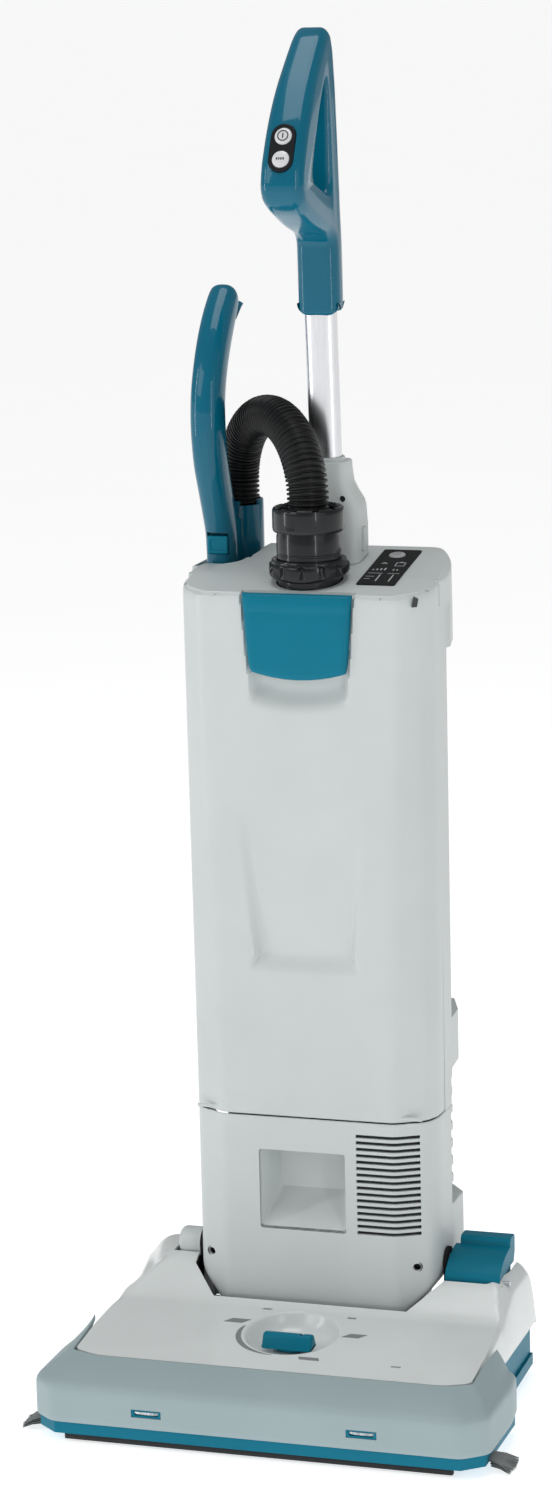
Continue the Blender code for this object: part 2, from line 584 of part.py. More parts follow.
cut(top_cover, on_slope("panel_seat", 41.1, 73.9, 23.6, 111.4, -1.2, 30))
control_panel = on_slope("control_panel", 41.5, 73.5, 24, 111, -0.9, 0.9, "black_plastic")
button_at = (56, 97, top_z(97))
axis = tuple(up_slope)
cut(control_panel, lathe("panel_hole", [(0, 4), (7.3, 4), (7.3, -4), (0, -4)], button_at, axis, 28))
panel_button = lathe("panel_button", [(0, 1.9), (6, 1.9), (7, 1.2), (7, 0.1), (0, 0.1)], button_at, axis, 28, "button_white")

wand_hold = both_sides([(26, 84.8), (26, 128), (18, 148)])
wand_holder = prism("wand_holder", [(x - 92, y) for x, y in wand_hold], "z", 560, 676, "shell_grey")
bevel(wand_holder, 2.5, 2)
cut(wand_holder, prism("holder_room", [(x - 92, y) for x, y in both_sides([(23.6, 86.9), (23.6, 151)])],
                       "z", 598, 720))

# hose inlet on top of the body
flange = [(26.6, 13), (32.5, 13), (32.5, 1), (26.6, 1)]
hose_flange = lathe("hose_flange", flange, (*CUFF, 680.5), steps=40, finish="black_plastic", closed=True)
cut(hose_flange, prism("flange_seat", [(-40, 600), (-40, top_z(-40) + 0.4), (90, top_z(90) + 0.4), (90, 600)],
                       "x", -60, 60))
cuff = [(21.5, 724), (26.2, 724), (26.2, 657), (21.5, 657)]
hose_cuff = lathe("hose_cuff", [(r, z - 690) for r, z in cuff], (*CUFF, 690), steps=40, finish="black_plastic",
                  closed=True)
ring = [(24.5, 736), (28, 736), (29.2, 734), (29.2, 716), (26.5, 716), (26.5, 724.4), (24.5, 724.4)]
cuff_ring = lathe("cuff_ring", [(r, z - 690) for r, z in ring], (*CUFF, 690), steps=40, finish="black_plastic",
                  closed=True)

# dust bag and the air path
bag_collar = prism("bag_collar", both_sides([(34, 12.5), (34, 60)]), "z", 633, 636, "card")
cut(bag_collar, cylinder("collar_bore", (*CUFF, 636), 19.5, 10, steps=32))
bag_rings = []
bag_shape = [
    (258, 62, 14, 54), (272, 82, 7, 62), (440, 90, 4, 64), (548, 87, 14, 63), (600, 83, 15, 62), (632, 52, 17, 52),
]
for z, half_x, front, back in bag_shape:
    middle = (front + back) / 2
    deep = (back - front) / 2
    bag_rings.append([(a, middle + b, z) for a, b in oval(half_x, deep, 24, 3.2)])
dust_bag = loft("dust_bag", bag_rings, "bag_cloth")
premotor_filter = box("premotor_filter", (-60, 11, 246), (60, 58, 256), "filter_media")
motor = [(0, 228), (18, 228), (34, 220), (34, 190), (26, 186), (26, 156), (12, 150), (0, 150)]
suction_motor = lathe("suction_motor", [(r, z - 190) for r, z in motor], (-5, 73, 192), steps=28, finish="steel")
exhaust_filter = box("exhaust_filter", (-62, 108.5, 156), (62, 114, 255), "filter_media")
controller_board = box("controller_board", (42, 40, 118), (92, 43, 180), "board_green")

# ============================ telescopic handle ============================
lean = Vector((0, -math.sin(TUBE_LEAN), math.cos(TUBE_LEAN)))
tube_low, tube_high = 560.0, 960.0
stations = []
for z in (tube_low, tube_high):
    stations.append((tube_frame(z), lean, 13.2, 9.0))
handle_tube = sweep("handle_tube", stations, "aluminium")

bracket_side = []
rings = []
for z, half, front, back in ((662, 29, 73, 111), (700, 30, 71, 110), (732, 29.5, 71, 108), (746, 21, 70, 105),
                             (766, 19.5, 71, 103)):
    middle = (front + back) / 2
    deep = (back - front) / 2
    rings.append([(a, middle + b, z) for a, b in oval(half, deep, 20, 5.0)])
handle_bracket = loft("handle_bracket", rings, "shell_grey")
seat = [(40, 600), (40, top_z(40) + 0.4), (114, top_z(114) + 0.4), (122, top_z(118) + 0.4), (140, 600)]
cut(handle_bracket, prism("bracket_seat", seat, "x", -60, 60))
cut(handle_bracket, sweep("bracket_bore", [(tube_frame(z), lean, 13.7, 9.5) for z in (600, 800)]))
cut(handle_bracket, box("tab_room", (23.6, 84, 692), (40, 91, 712)))
lock_tab = box("lock_tab", (27.6, 84.4, 692.4), (32.5, 90.6, 711.6), "shell_grey")
bevel(lock_tab, 0.8, 1)

loop = [
    (-25, 992), (-21, 1011), (-8, 1037), (16, 1070), (45, 1096), (62, 1110), (72, 1115), (81, 1110),
    (85.5, 1096), (86, 1075), (86, 1010), (88, 972), (92.5, 950), (93.5, 886), (69.5, 884.7), (67, 944),
    (31, 958), (-5, 972), (-19, 980),
]
opening = [(10, 999), (20, 1022), (36, 1050), (52, 1071), (59, 1075), (62, 1068), (62, 990), (57, 983)]
main_handle = prism("main_handle", loop, "x", -17.5, 17.5, "teal_gloss")
cut(main_handle, prism("hand_opening", opening, "x", -30, 30))
bevel(main_handle, 4.0, 2, 30)
cut(main_handle, sweep("tube_socket", [(tube_frame(z), lean, 13.6, 9.4) for z in (860, 960.6)]))
keypad_mid = Vector((0, -14.5, 1024))
face_way = Vector((0, -26, 13)).normalized()
face_up = Vector((0, 13, 26)).normalized()


def on_face(name, outline, low, high, finish=None, origin=(0, 0, 0)):
    """A flat outline on the keypad's slanted face, from low to high above it."""
    rings = []
    for lift in (low, high):
        ring = []
        for a, b in outline:
            ring.append(tuple(keypad_mid + Vector((a, 0, 0)) + face_up * b + face_way * lift))
        rings.append(ring)
    return loft(name, rings, finish, origin)


def pill(half_width, half_height, steps=8):
    straight = half_height - half_width
    upper = arc((0, straight), half_width, 0, 180, steps)
    lower = arc((0, -straight), half_width, 180, 360, steps)
    return upper + lower


cut(main_handle, on_face("keypad_seat", pill(10.4, 20.4), -3, 12))
keypad = on_face("keypad", pill(10, 20), -2.6, 0.6, "black_plastic")
for name, rise in (("power_button", 9.6), ("boost_button", -9.6)):
    at = tuple(keypad_mid + face_up * rise)
    cut(keypad, lathe(f"{name}_hole", [(0, 2), (7.3, 2), (7.3, -1.9), (0, -1.9)], at, tuple(face_way), 28))
    lathe(name, [(0, 1.9), (6.2, 1.9), (7, 1.3), (7, -0.7), (0, -0.7)], at, tuple(face_way), 28, "button_white")

# ============================ wand and hose ============================
path = [
    ((WAND_X, 101, 640), 12.5, 13), ((WAND_X, 101, 700), 13, 14), ((WAND_X, 86, 738), 13, 15),
    ((WAND_X, 72, 775), 13.5, 15.5), ((WAND_X, 71, 810), 13.5, 15.5), ((WAND_X, 84, 845), 13, 16),
    ((WAND_X, 103, 874), 13, 16), ((WAND_X, 124, 896), 12, 13),
]
stations = []
for i, (centre, half_x, half_d) in enumerate(path):
    before = path[max(i - 1, 0)][0]
    after = path[min(i + 1, len(path) - 1)][0]
    way = tuple(b - a for a, b in zip(before, after))
    stations.append((centre, way, half_x, half_d))
wand = sweep("wand", stations, "teal_gloss", (WAND_X, 110, 640))
bevel(wand, 3.0, 2, 50)
join(wand, cylinder("socket_wall", (SOCKET[0], SOCKET[1], 663.5), 20.0, 63, steps=32))
join(wand, box("socket_web", (WAND_X - 10, 98, 602), (WAND_X + 12, 122, 712)))
cut(wand, cylinder("socket_bore", (SOCKET[0], SOCKET[1], 720), HOSE_R + 0.6, 30, steps=32))
cut(wand, box("button_room", (WAND_X - 9, 80, 686), (WAND_X + 9, 92.6, 702)))
wand_button = box("wand_button", (WAND_X - 8.6, 86.0, 686.4), (WAND_X + 8.6, 89.9, 701.6), "teal_matte")
bevel(wand_button, 0.8, 1)

# the hose leaves the cuff upwards, arches over and drops into the wand's socket
start = Vector((CUFF[0], CUFF[1], 700))
finish_at = Vector((SOCKET[0], SOCKET[1], 694))
points = []
spring = 742.0
rise = 60.0
for i in range(4):
    points.append(start + (Vector((CUFF[0], CUFF[1], spring)) - start) * i / 4)
for i in range(33):
    turn = math.pi * i / 32
    share = (1 - math.cos(turn)) / 2
    x = CUFF[0] + (SOCKET[0] - CUFF[0]) * share
    y = CUFF[1] + (SOCKET[1] - CUFF[1]) * share
    points.append(Vector((x, y, spring + rise * math.sin(turn))))
for i in range(1, 5):
    points.append(Vector((SOCKET[0], SOCKET[1], spring)) + (finish_at - Vector((SOCKET[0], SOCKET[1], spring))) * i / 4)
curve = bpy.data.curves.new("hose", "CURVE")
curve.dimensions = "3D"
curve.bevel_depth = HOSE_R * MM
curve.bevel_resolution = 3
curve.use_fill_caps = True
line = curve.splines.new("POLY")
line.points.add(len(points) - 1)
for spot, point in zip(line.points, points):
    spot.co = (*(point * MM), 1.0)
hose = bpy.data.objects.new("hose", curve)
hose.location = SHIFT * MM
place(hose, "hose_black")
weld = hose.modifiers.new("weld", "WELD")
weld.merge_threshold = 0.00002
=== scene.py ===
"""Looks of the upright vacuum cleaner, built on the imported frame.

Lengths in the builders below are millimetres in the part's own layout, with the floor at z = 0 and the
middle of the machine at x = 0; at() turns a place in that layout into the frame's metres.
"""
import json
import math

import bmesh
import bpy
import numpy as np
from mathutils import Matrix, Vector

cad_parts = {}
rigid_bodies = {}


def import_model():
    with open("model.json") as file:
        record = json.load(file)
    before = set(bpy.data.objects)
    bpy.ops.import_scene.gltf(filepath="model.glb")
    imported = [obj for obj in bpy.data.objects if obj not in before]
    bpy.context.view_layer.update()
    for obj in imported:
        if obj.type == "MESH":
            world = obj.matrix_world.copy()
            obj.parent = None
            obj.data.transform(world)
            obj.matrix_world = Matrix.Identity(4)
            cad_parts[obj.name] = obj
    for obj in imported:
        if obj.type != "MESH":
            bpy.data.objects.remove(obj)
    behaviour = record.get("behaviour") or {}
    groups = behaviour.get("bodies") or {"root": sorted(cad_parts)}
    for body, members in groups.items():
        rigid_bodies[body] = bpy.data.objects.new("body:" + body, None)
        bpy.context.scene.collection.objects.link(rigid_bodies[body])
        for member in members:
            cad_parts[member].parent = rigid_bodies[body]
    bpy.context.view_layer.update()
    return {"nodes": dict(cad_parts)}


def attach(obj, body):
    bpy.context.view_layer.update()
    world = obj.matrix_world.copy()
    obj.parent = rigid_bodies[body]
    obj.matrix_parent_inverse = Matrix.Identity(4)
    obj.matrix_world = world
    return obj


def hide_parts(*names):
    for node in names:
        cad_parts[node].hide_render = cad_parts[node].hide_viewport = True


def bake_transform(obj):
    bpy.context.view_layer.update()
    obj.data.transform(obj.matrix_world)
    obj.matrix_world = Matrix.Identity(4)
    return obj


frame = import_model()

MM = 0.001
SHIFT = Vector((0, 10, 0))
PIVOT = (40.0, 106.0)
CUFF = (0.0, 34.0)
SOCKET = (-89.0, 130.0)
WAND_X = -95.0
HOSE_R = 17.0
TUBE_LEAN = math.radians(3.0)
DIAL = (0, -60)
BRUSH_AXIS = (0, -119, 27)
WHEEL_PLACE = (128, 62, 36)
SCREW_WELL = (88.5, 110.5)
ALONG_X = (1, 0, 0)
ALONG_Y = (0, 1, 0)
ALONG_Z = (0, 0, 1)
SIDES = ((-1, "left"), (1, "right"))
CAMERA_TURN = (17.6, 11.91, -1.35)
CAMERA_TARGET = (-0.0210, 0.0097, 0.5418)
CAMERA_DISTANCE = 3.228


def at(x, y, z):
    return (Vector((x, y, z)) + SHIFT) * MM


# ============================ camera, light, floor ============================
def look(azimuth, elevation, roll, target, distance):
    az, el, ro = (math.radians(v) for v in (azimuth, elevation, roll))
    back = Vector((math.sin(az) * math.cos(el), -math.cos(az) * math.cos(el), math.sin(el)))
    right = Vector((math.cos(az), math.sin(az), 0))
    up = right.cross(-back)
    across = right * math.cos(ro) + up * math.sin(ro)
    above = up * math.cos(ro) - right * math.sin(ro)
    turn = Matrix((across, above, back)).transposed().to_4x4()
    return Matrix.Translation(Vector(target) + back * distance) @ turn


camera_data = bpy.data.cameras.new("camera")
camera_data.sensor_width = 36.0
camera_data.lens = 96.0
camera_data.clip_start = 0.05
camera = bpy.data.objects.new("camera", camera_data)
camera.matrix_world = look(*CAMERA_TURN, CAMERA_TARGET, CAMERA_DISTANCE)
bpy.context.scene.collection.objects.link(camera)
bpy.context.scene.camera = camera


def area_light(name, place, aim, size, power, size_y=None):
    data = bpy.data.lights.new(name, "AREA")
    data.energy = power
    data.size = size
    if size_y:
        data.shape = "RECTANGLE"
        data.size_y = size_y
    lamp = bpy.data.objects.new(name, data)
    lamp.location = place
    lamp.rotation_euler = (Vector(aim) - Vector(place)).to_track_quat("-Z", "Y").to_euler()
    bpy.context.scene.collection.objects.link(lamp)


area_light("key", (-1.7, -2.3, 2.1), (0, 0, 0.5), 1.3, 12)
area_light("fill", (2.4, -1.4, 1.4), (0, 0, 0.5), 1.4, 4)
area_light("strip_left", (-1.5, -0.7, 1.0), (0, 0, 0.8), 0.14, 5.4, 1.3)
area_light("strip_right", (1.1, -1.25, 1.05), (0, 0, 0.85), 0.10, 3.4, 1.2)
area_light("top", (0.0, -0.1, 2.9), (0, 0, 0.4), 1.4, 20)

world = bpy.data.worlds.new("studio")
world.use_nodes = True
world.node_tree.nodes["Background"].inputs["Color"].default_value = (1.0, 1.0, 1.0, 1)
world.node_tree.nodes["Background"].inputs["Strength"].default_value = 0.29
bpy.context.scene.world = world
bpy.context.scene.view_settings.view_transform = "Standard"


# ============================ materials ============================
def wire(tree, out_node, out_name, in_node, in_name):
    tree.links.new(out_node.outputs[out_name], in_node.inputs[in_name])


def new_material(name, colour, rough, metal=0.0, coat=0.0, coat_rough=0.1, specular=None):
    mat = bpy.data.materials.new(name)
    mat.use_nodes = True
    shader = mat.node_tree.nodes["Principled BSDF"]
    shader.inputs["Base Color"].default_value = (*colour, 1)
    shader.inputs["Roughness"].default_value = rough
    shader.inputs["Metallic"].default_value = metal
    shader.inputs["Coat Weight"].default_value = coat
    shader.inputs["Coat Roughness"].default_value = coat_rough
    if specular is not None:
        shader.inputs["Specular IOR Level"].default_value = specular
    mat.diffuse_color = (*colour, 1)
    return mat, mat.node_tree, shader


def coords(tree, scale=(1, 1, 1)):
    place = tree.nodes.new("ShaderNodeTexCoord")
    mapping = tree.nodes.new("ShaderNodeMapping")
    mapping.inputs["Scale"].default_value = scale
    wire(tree, place, "Object", mapping, "Vector")
    return mapping


def noise(tree, mapping, scale, detail=3.0, rough=0.5):
    node = tree.nodes.new("ShaderNodeTexNoise")
    node.inputs["Scale"].default_value = scale
    node.inputs["Detail"].default_value = detail
    node.inputs["Roughness"].default_value = rough
    wire(tree, mapping, "Vector", node, "Vector")
    return node


def ramp(tree, node, out, stops):
    found = tree.nodes.new("ShaderNodeValToRGB")
    wire(tree, node, out, found, "Fac")
    elements = found.color_ramp.elements
    while len(elements) < len(stops):
        elements.new(0.5)
    for element, (place, colour) in zip(elements, stops):
        element.position = place
        element.color = (*colour, 1) if len(colour) == 3 else colour
    return found


def spread(tree, node, out, low, high):
    found = tree.nodes.new("ShaderNodeMapRange")
    found.inputs["To Min"].default_value = low
    found.inputs["To Max"].default_value = high
    wire(tree, node, out, found, "Value")
    return found


def bump(tree, shader, heights, strength, distance):
    node = tree.nodes.new("ShaderNodeBump")
    node.inputs["Strength"].default_value = strength
    node.inputs["Distance"].default_value = distance
    tree.links.new(heights, node.inputs["Height"])
    wire(tree, node, "Normal", shader, "Normal")


def shade(colour, factor):
    return tuple(min(1.0, c * factor) for c in colour)


def plastic(name, colour, rough, grain=900.0, grain_depth=0.00006, grain_strength=0.25, coat=0.0,
            coat_rough=0.1, mottle=0.03, specular=None):
    """Moulded plastic: a slow colour drift, uneven gloss and a fine spark-eroded grain."""
    mat, tree, shader = new_material(name, colour, rough, coat=coat, coat_rough=coat_rough,
                                     specular=specular)
    place = coords(tree)
    slow = noise(tree, place, 9.0, 4.0, 0.6)
    tint = ramp(tree, slow, "Fac", [(0.3, shade(colour, 1 - mottle)), (0.7, shade(colour, 1 + mottle))])
    wire(tree, tint, "Color", shader, "Base Color")
    middle = noise(tree, place, 60.0, 3.0, 0.55)
    gloss = spread(tree, middle, "Fac", max(0.02, rough - 0.06), rough + 0.06)
    wire(tree, gloss, "Result", shader, "Roughness")
    fine = noise(tree, place, grain, 2.0, 0.6)
    bump(tree, shader, fine.outputs["Fac"], grain_strength, grain_depth)
    return mat


GREY = plastic("moulded_light_grey", (0.600, 0.642, 0.637), 0.42, coat=0.05, coat_rough=0.3)
WHITE = plastic("moulded_near_white", (0.735, 0.772, 0.768), 0.24, grain=500, grain_strength=0.06, coat=0.35,
                coat_rough=0.18)
BUMPER = plastic("bumper_blue_grey", (0.345, 0.437, 0.456), 0.5, grain=1300, grain_strength=0.35)
TEAL = plastic("teal_polished", (0.0012, 0.122, 0.198), 0.24, grain=160, grain_strength=0.03, coat=0.5,
               coat_rough=0.04, mottle=0.05, specular=0.08)
TEAL_SATIN = plastic("teal_satin", (0.0015, 0.176, 0.268), 0.4, grain=1100, grain_strength=0.2, coat=0.06,
                     coat_rough=0.3, mottle=0.05, specular=0.12)
BLACK = plastic("black_moulding", (0.008, 0.010, 0.012), 0.3, grain=900, grain_strength=0.12, coat=0.35,
                coat_rough=0.08, mottle=0.2, specular=0.2)
BLACK_MATTE = plastic("black_matte", (0.008, 0.009, 0.010), 0.62, grain=1200, grain_strength=0.5,
                      mottle=0.25,
                      specular=0.2)
RUBBER = plastic("rubber_tread", (0.022, 0.022, 0.023), 0.78, grain=1600, grain_strength=0.7, mottle=0.3)
KEY_WHITE = plastic("key_cap_white", (0.66, 0.67, 0.68), 0.32, grain=900, grain_strength=0.08, coat=0.3)
KEY_SILVER = plastic("key_cap_silver", (0.42, 0.43, 0.44), 0.3, grain=900, grain_strength=0.1, coat=0.3)
INK = plastic("printed_grey", (0.22, 0.235, 0.24), 0.5, grain=700, grain_strength=0.1)
INK_DARK = plastic("printed_black", (0.02, 0.022, 0.024), 0.45, grain=700, grain_strength=0.1)
INK_LIGHT = plastic("printed_pale", (0.52, 0.54, 0.55), 0.45, grain=700, grain_strength=0.1)
WELL = plastic("shadow_well", (0.05, 0.055, 0.055), 0.8, grain=900, grain_strength=0.4)
BOARD = plastic("circuit_green", (0.01, 0.09, 0.035), 0.4, grain=500, grain_strength=0.3)


def metal(name, colour, rough, stretch, depth=0.00002, strength=0.3, aniso=0.0):
    """Drawn or turned metal: fine lines along one axis."""
    mat, tree, shader = new_material(name, colour, rough, metal=1.0)
    place = coords(tree, stretch)
    lines = noise(tree, place, 60.0, 5.0, 0.7)
    gloss = spread(tree, lines, "Fac", max(0.05, rough - 0.1), rough + 0.12)
    wire(tree, gloss, "Result", shader, "Roughness")
    tint = ramp(tree, lines, "Fac", [(0.3, shade(colour, 0.9)), (0.7, shade(colour, 1.05))])
    wire(tree, tint, "Color", shader, "Base Color")
    if aniso:
        shader.inputs["Anisotropic"].default_value = aniso
    bump(tree, shader, lines.outputs["Fac"], strength, depth)
    return mat


ALUMINIUM = metal("drawn_aluminium", (0.80, 0.81, 0.83), 0.30, (18, 18, 0.5))
STEEL = metal("plain_steel", (0.55, 0.56, 0.58), 0.28, (0.6, 14, 14))


def cloth(name, colour, weave=2600.0):
    mat, tree, shader = new_material(name, colour, 0.9)
    shader.inputs["Sheen Weight"].default_value = 0.3
    place = coords(tree)
    fibres = noise(tree, place, weave, 4.0, 0.7)
    cloud = noise(tree, place, 45.0, 4.0, 0.6)
    tint = ramp(tree, cloud, "Fac", [(0.3, shade(colour, 0.86)), (0.7, shade(colour, 1.06))])
    wire(tree, tint, "Color", shader, "Base Color")
    bump(tree, shader, fibres.outputs["Fac"], 0.8, 0.0003)
    return mat


FLEECE = cloth("fleece_cloth", (0.62, 0.60, 0.55), 1400)
FELT = cloth("black_felt", (0.018, 0.018, 0.020), 1800)
FILTER = cloth("filter_media", (0.70, 0.70, 0.66), 1700)
CARD = cloth("board_collar", (0.36, 0.27, 0.17), 1500)


def glass(name, colour):
    mat, tree, shader = new_material(name, colour, 0.08, coat=1.0, coat_rough=0.02)
    place = coords(tree, (220, 1, 1))
    bands = noise(tree, place, 4.0, 1.0, 0.4)
    tint = ramp(tree, bands, "Fac", [(0.35, shade(colour, 0.75)), (0.65, shade(colour, 1.15))])
    wire(tree, tint, "Color", shader, "Base Color")
    bump(tree, shader, bands.outputs["Fac"], 0.4, 0.0003)
    return mat


LENS = glass("lamp_lens", (0.72, 0.78, 0.80))


# ============================ mesh builders ============================
def mesh_object(name, points, faces, material):
    mesh = bpy.data.meshes.new(name)
    mesh.from_pydata([at(*p) for p in points], [], faces)
    mesh.update()
    obj = bpy.data.objects.new(name, mesh)
    bpy.context.scene.collection.objects.link(obj)
    if material:
        mesh.materials.append(material)
    bm = bmesh.new()
    bm.from_mesh(mesh)
    bmesh.ops.remove_doubles(bm, verts=bm.verts, dist=1e-6)
    bmesh.ops.recalc_face_normals(bm, faces=bm.faces)
    bm.to_mesh(mesh)
    bm.free()
    return obj


def bake(obj):
    """Applies every modifier."""
    bpy.context.view_layer.update()
    graph = bpy.context.evaluated_depsgraph_get()
    mesh = bpy.data.meshes.new_from_object(obj.evaluated_get(graph))
    old = obj.data
    obj.modifiers.clear()
    obj.data = mesh
    bpy.data.meshes.remove(old)
    return obj


def smooth(obj, angle=38):
    """Smooth shading with edges kept sharp over this angle."""
    mesh = obj.data
    bm = bmesh.new()
    bm.from_mesh(mesh)
    limit = math.radians(angle)
    for face in bm.faces:
        face.smooth = True
    for edge in bm.edges:
        edge.smooth = len(edge.link_faces) == 2 and edge.calc_face_angle(0.0) < limit
    bm.to_mesh(mesh)
    bm.free()
    return obj


def carve(obj, cutters, operation="DIFFERENCE"):
    for other in cutters:
        mod = obj.modifiers.new("carve", "BOOLEAN")
        mod.operation = operation
        mod.solver = "EXACT"
        mod.object = other
    bake(obj)
    for other in cutters:
        bpy.data.objects.remove(other)
    return obj


def even_shading(obj):
    """Normals weighted by face size, so that the flats stay flat."""
    mod = obj.modifiers.new("even", "WEIGHTED_NORMAL")
    mod.keep_sharp = True
    return bake(obj)


def thicken(obj, wall):
    """Gives an open skin a wall, inward from its faces."""
    mod = obj.modifiers.new("wall", "SOLIDIFY")
    mod.thickness = wall * MM
    mod.offset = -1.0
    return bake(obj)


def soften(obj, width, segments=3, angle=30, keep_angle=42):
    """Rounded edges with even shading on the flats."""
    bm = bmesh.new()
    bm.from_mesh(obj.data)
    bmesh.ops.remove_doubles(bm, verts=bm.verts, dist=2e-6)
    bmesh.ops.dissolve_limit(bm, angle_limit=math.radians(0.6), verts=bm.verts, edges=bm.edges)
    bm.to_mesh(obj.data)
    bm.free()
    mod = obj.modifiers.new("edges", "BEVEL")
    mod.width = width * MM
    mod.segments = segments
    mod.limit_method = "ANGLE"
    mod.angle_limit = math.radians(angle)
    mod.use_clamp_overlap = True
    bake(obj)
    return even_shading(smooth(obj, keep_angle))


PLACES = {
    "x": lambda a, b, c: (c, a, b),
    "y": lambda a, b, c: (a, c, b),
    "z": lambda a, b, c: (a, b, c),
}


def prism(name, outline, axis, low, high, material=None):
    spots = PLACES[axis]
    n = len(outline)
    points = [spots(a, b, low) for a, b in outline] + [spots(a, b, high) for a, b in outline]
    faces = [tuple(range(n)), tuple(range(n, 2 * n))]
    faces += [(i, (i + 1) % n, n + (i + 1) % n, n + i) for i in range(n)]
    return mesh_object(name, points, faces, material)


def block(name, low, high, material=None):
    return prism(name, rect(*low[:2], *high[:2]), "z", low[2], high[2], material)


def loft(name, rings, material=None, caps=True, closed_path=False):
    n = len(rings[0])
    points = [p for ring in rings for p in ring]
    faces = []
    count = len(rings)
    for k in range(count if closed_path else count - 1):
        m = (k + 1) % count
        for i in range(n):
            j = (i + 1) % n
            faces.append((k * n + i, k * n + j, m * n + j, m * n + i))
    if caps and not closed_path:
        faces.append(tuple(range(n)))
        faces.append(tuple(range((count - 1) * n, count * n)))
    return mesh_object(name, points, faces, material)


def basis(axis):
    axis = Vector(axis).normalized()
    side = Vector((1, 0, 0)) if abs(axis.x) < 0.9 else Vector((0, 1, 0))
    side = (side - axis * side.dot(axis)).normalized()
    return side, axis.cross(side), axis


def lathe(name, profile, centre, axis=(0, 0, 1), steps=64, material=None):
    """Turns (radius, height) points about axis; one that starts or ends off the axis is a closed ring."""
    side, other, along = basis(axis)
    centre = Vector(centre)
    solid = profile[0][0] == 0 and profile[-1][0] == 0
    points, faces, rows = [], [], []
    for r, h in profile:
        if r == 0:
            rows.append([len(points)] * steps)
            points.append(tuple(centre + along * h))
            continue
        rows.append(list(range(len(points), len(points) + steps)))
        for i in range(steps):
            turn = 2 * math.pi * i / steps
            points.append(tuple(centre + side * (r * math.cos(turn)) + other * (r * math.sin(turn))
                                + along * h))
    pairs = list(zip(rows, rows[1:])) if solid else list(zip(rows, rows[1:] + rows[:1]))
    for a, b in pairs:
        for i in range(steps):
            j = (i + 1) % steps
            face = []
            for v in (a[i], a[j], b[j], b[i]):
                if v not in face:
                    face.append(v)
            if len(face) > 2:
                faces.append(tuple(face))
    return mesh_object(name, points, faces, material)


def plug(radius, high, low, centre, axis=ALONG_Z, steps=64):
    """A plain cylinder between two heights along its axis, used as a cutter."""
    return lathe("plug", [(0, high), (radius, high), (radius, low), (0, low)], centre, axis, steps)


def rect(a0, b0, a1, b1):
    return [(a0, b0), (a1, b0), (a1, b1), (a0, b1)]


def mirror_outline(half):
    return half + [(-x, y) for x, y in reversed(half)]


def rounded(points, radii, steps=4, closed=True):
    """Each corner becomes a short curve; the point count depends only on how many corners are rounded."""
    n = len(points)
    found = []
    for i, corner in enumerate(points):
        radius = radii[i] if isinstance(radii, (list, tuple)) else radii
        if not closed and i in (0, n - 1):
            found.append(tuple(corner))
            continue
        a, b, c = Vector(points[i - 1]), Vector(corner), Vector(points[(i + 1) % n])
        d = min(radius, 0.46 * (a - b).length, 0.46 * (c - b).length)
        start = b + (a - b).normalized() * d
        end = b + (c - b).normalized() * d
        for k in range(steps + 1):
            t = k / steps
            found.append(tuple(start * (1 - t) ** 2 + b * (2 * t * (1 - t)) + end * t * t))
    return found


def arc(centre, radius, start, end, steps):
    found = []
    for i in range(steps + 1):
        angle = math.radians(start + (end - start) * i / steps)
        found.append((centre[0] + radius * math.cos(angle), centre[1] + radius * math.sin(angle)))
    return found


def oval(half_x, half_y, count, power=2.6):
    found = []
    for i in range(count):
        angle = 2 * math.pi * (i + 0.5) / count
        c, s = math.cos(angle), math.sin(angle)
        found.append((half_x * math.copysign(abs(c) ** (2 / power), c),
                      half_y * math.copysign(abs(s) ** (2 / power), s)))
    return found


def spline(points, count, closed=False):
    """Catmull-Rom through points of any number of coordinates."""
    points = [np.array(p, float) for p in points]
    n = len(points)
    found = []
    spans = n if closed else n - 1
    total = count if closed else count - 1
    for i in range(count):
        s = i * spans / total
        k = min(int(s), spans - 1)
        t = s - k
        if closed:
            p0, p1, p2, p3 = (points[(k + d) % n] for d in (-1, 0, 1, 2))
        else:
            p1, p2 = points[k], points[k + 1]
            p0 = points[k - 1] if k > 0 else 2 * p1 - p2
            p3 = points[k + 2] if k + 2 < n else 2 * p2 - p1
        found.append(0.5 * (2 * p1 + (p2 - p0) * t + (2 * p0 - 5 * p1 + 4 * p2 - p3) * t ** 2
                            + (3 * p1 - p0 - 3 * p2 + p3) * t ** 3))
    return found


def sweep(name, stations, material=None, count=28, power=2.6, caps=True):
    """Oval rings along a path in a plane of constant X: (centre, way, half across X, half depth)."""
    rings = []
    for centre, way, half_x, half_d in stations:
        way = Vector(way).normalized()
        side = Vector((1, 0, 0))
        side = (side - way * side.dot(way)).normalized()
        back = way.cross(side)
        rings.append([tuple(Vector(centre) + side * a + back * b)
                      for a, b in oval(half_x, half_d, count, power)])
    return loft(name, rings, material, caps)


def outward(obj, inside):
    """Turns an open skin so that its faces look away from a point inside it."""
    mesh = obj.data
    centre = at(*inside)
    total = sum((Vector(f.center) - centre).normalized().dot(f.normal) * f.area for f in mesh.polygons)
    if total < 0:
        mesh.flip_normals()
    return obj


def shell(obj, inside, thickness, angle=32):
    return smooth(thicken(outward(obj, inside), thickness), angle)


def grid(name, lines, material, inside=None, wrap=False):
    n = len(lines[0])
    points = [p for line in lines for p in line]
    faces = []
    for k in range(len(lines) - 1):
        for i in range(n if wrap else n - 1):
            j = (i + 1) % n
            faces.append((k * n + i, k * n + j, (k + 1) * n + j, (k + 1) * n + i))
    obj = mesh_object(name, points, faces, material)
    return outward(obj, inside) if inside else obj


def finish_piece(obj, body, *nodes, slot=None):
    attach(obj, body)
    if nodes:
        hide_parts(*nodes)
    return obj


def smoothstep(a, b, x):
    t = np.clip((x - a) / (b - a), 0, 1)
    return t * t * (3 - 2 * t)


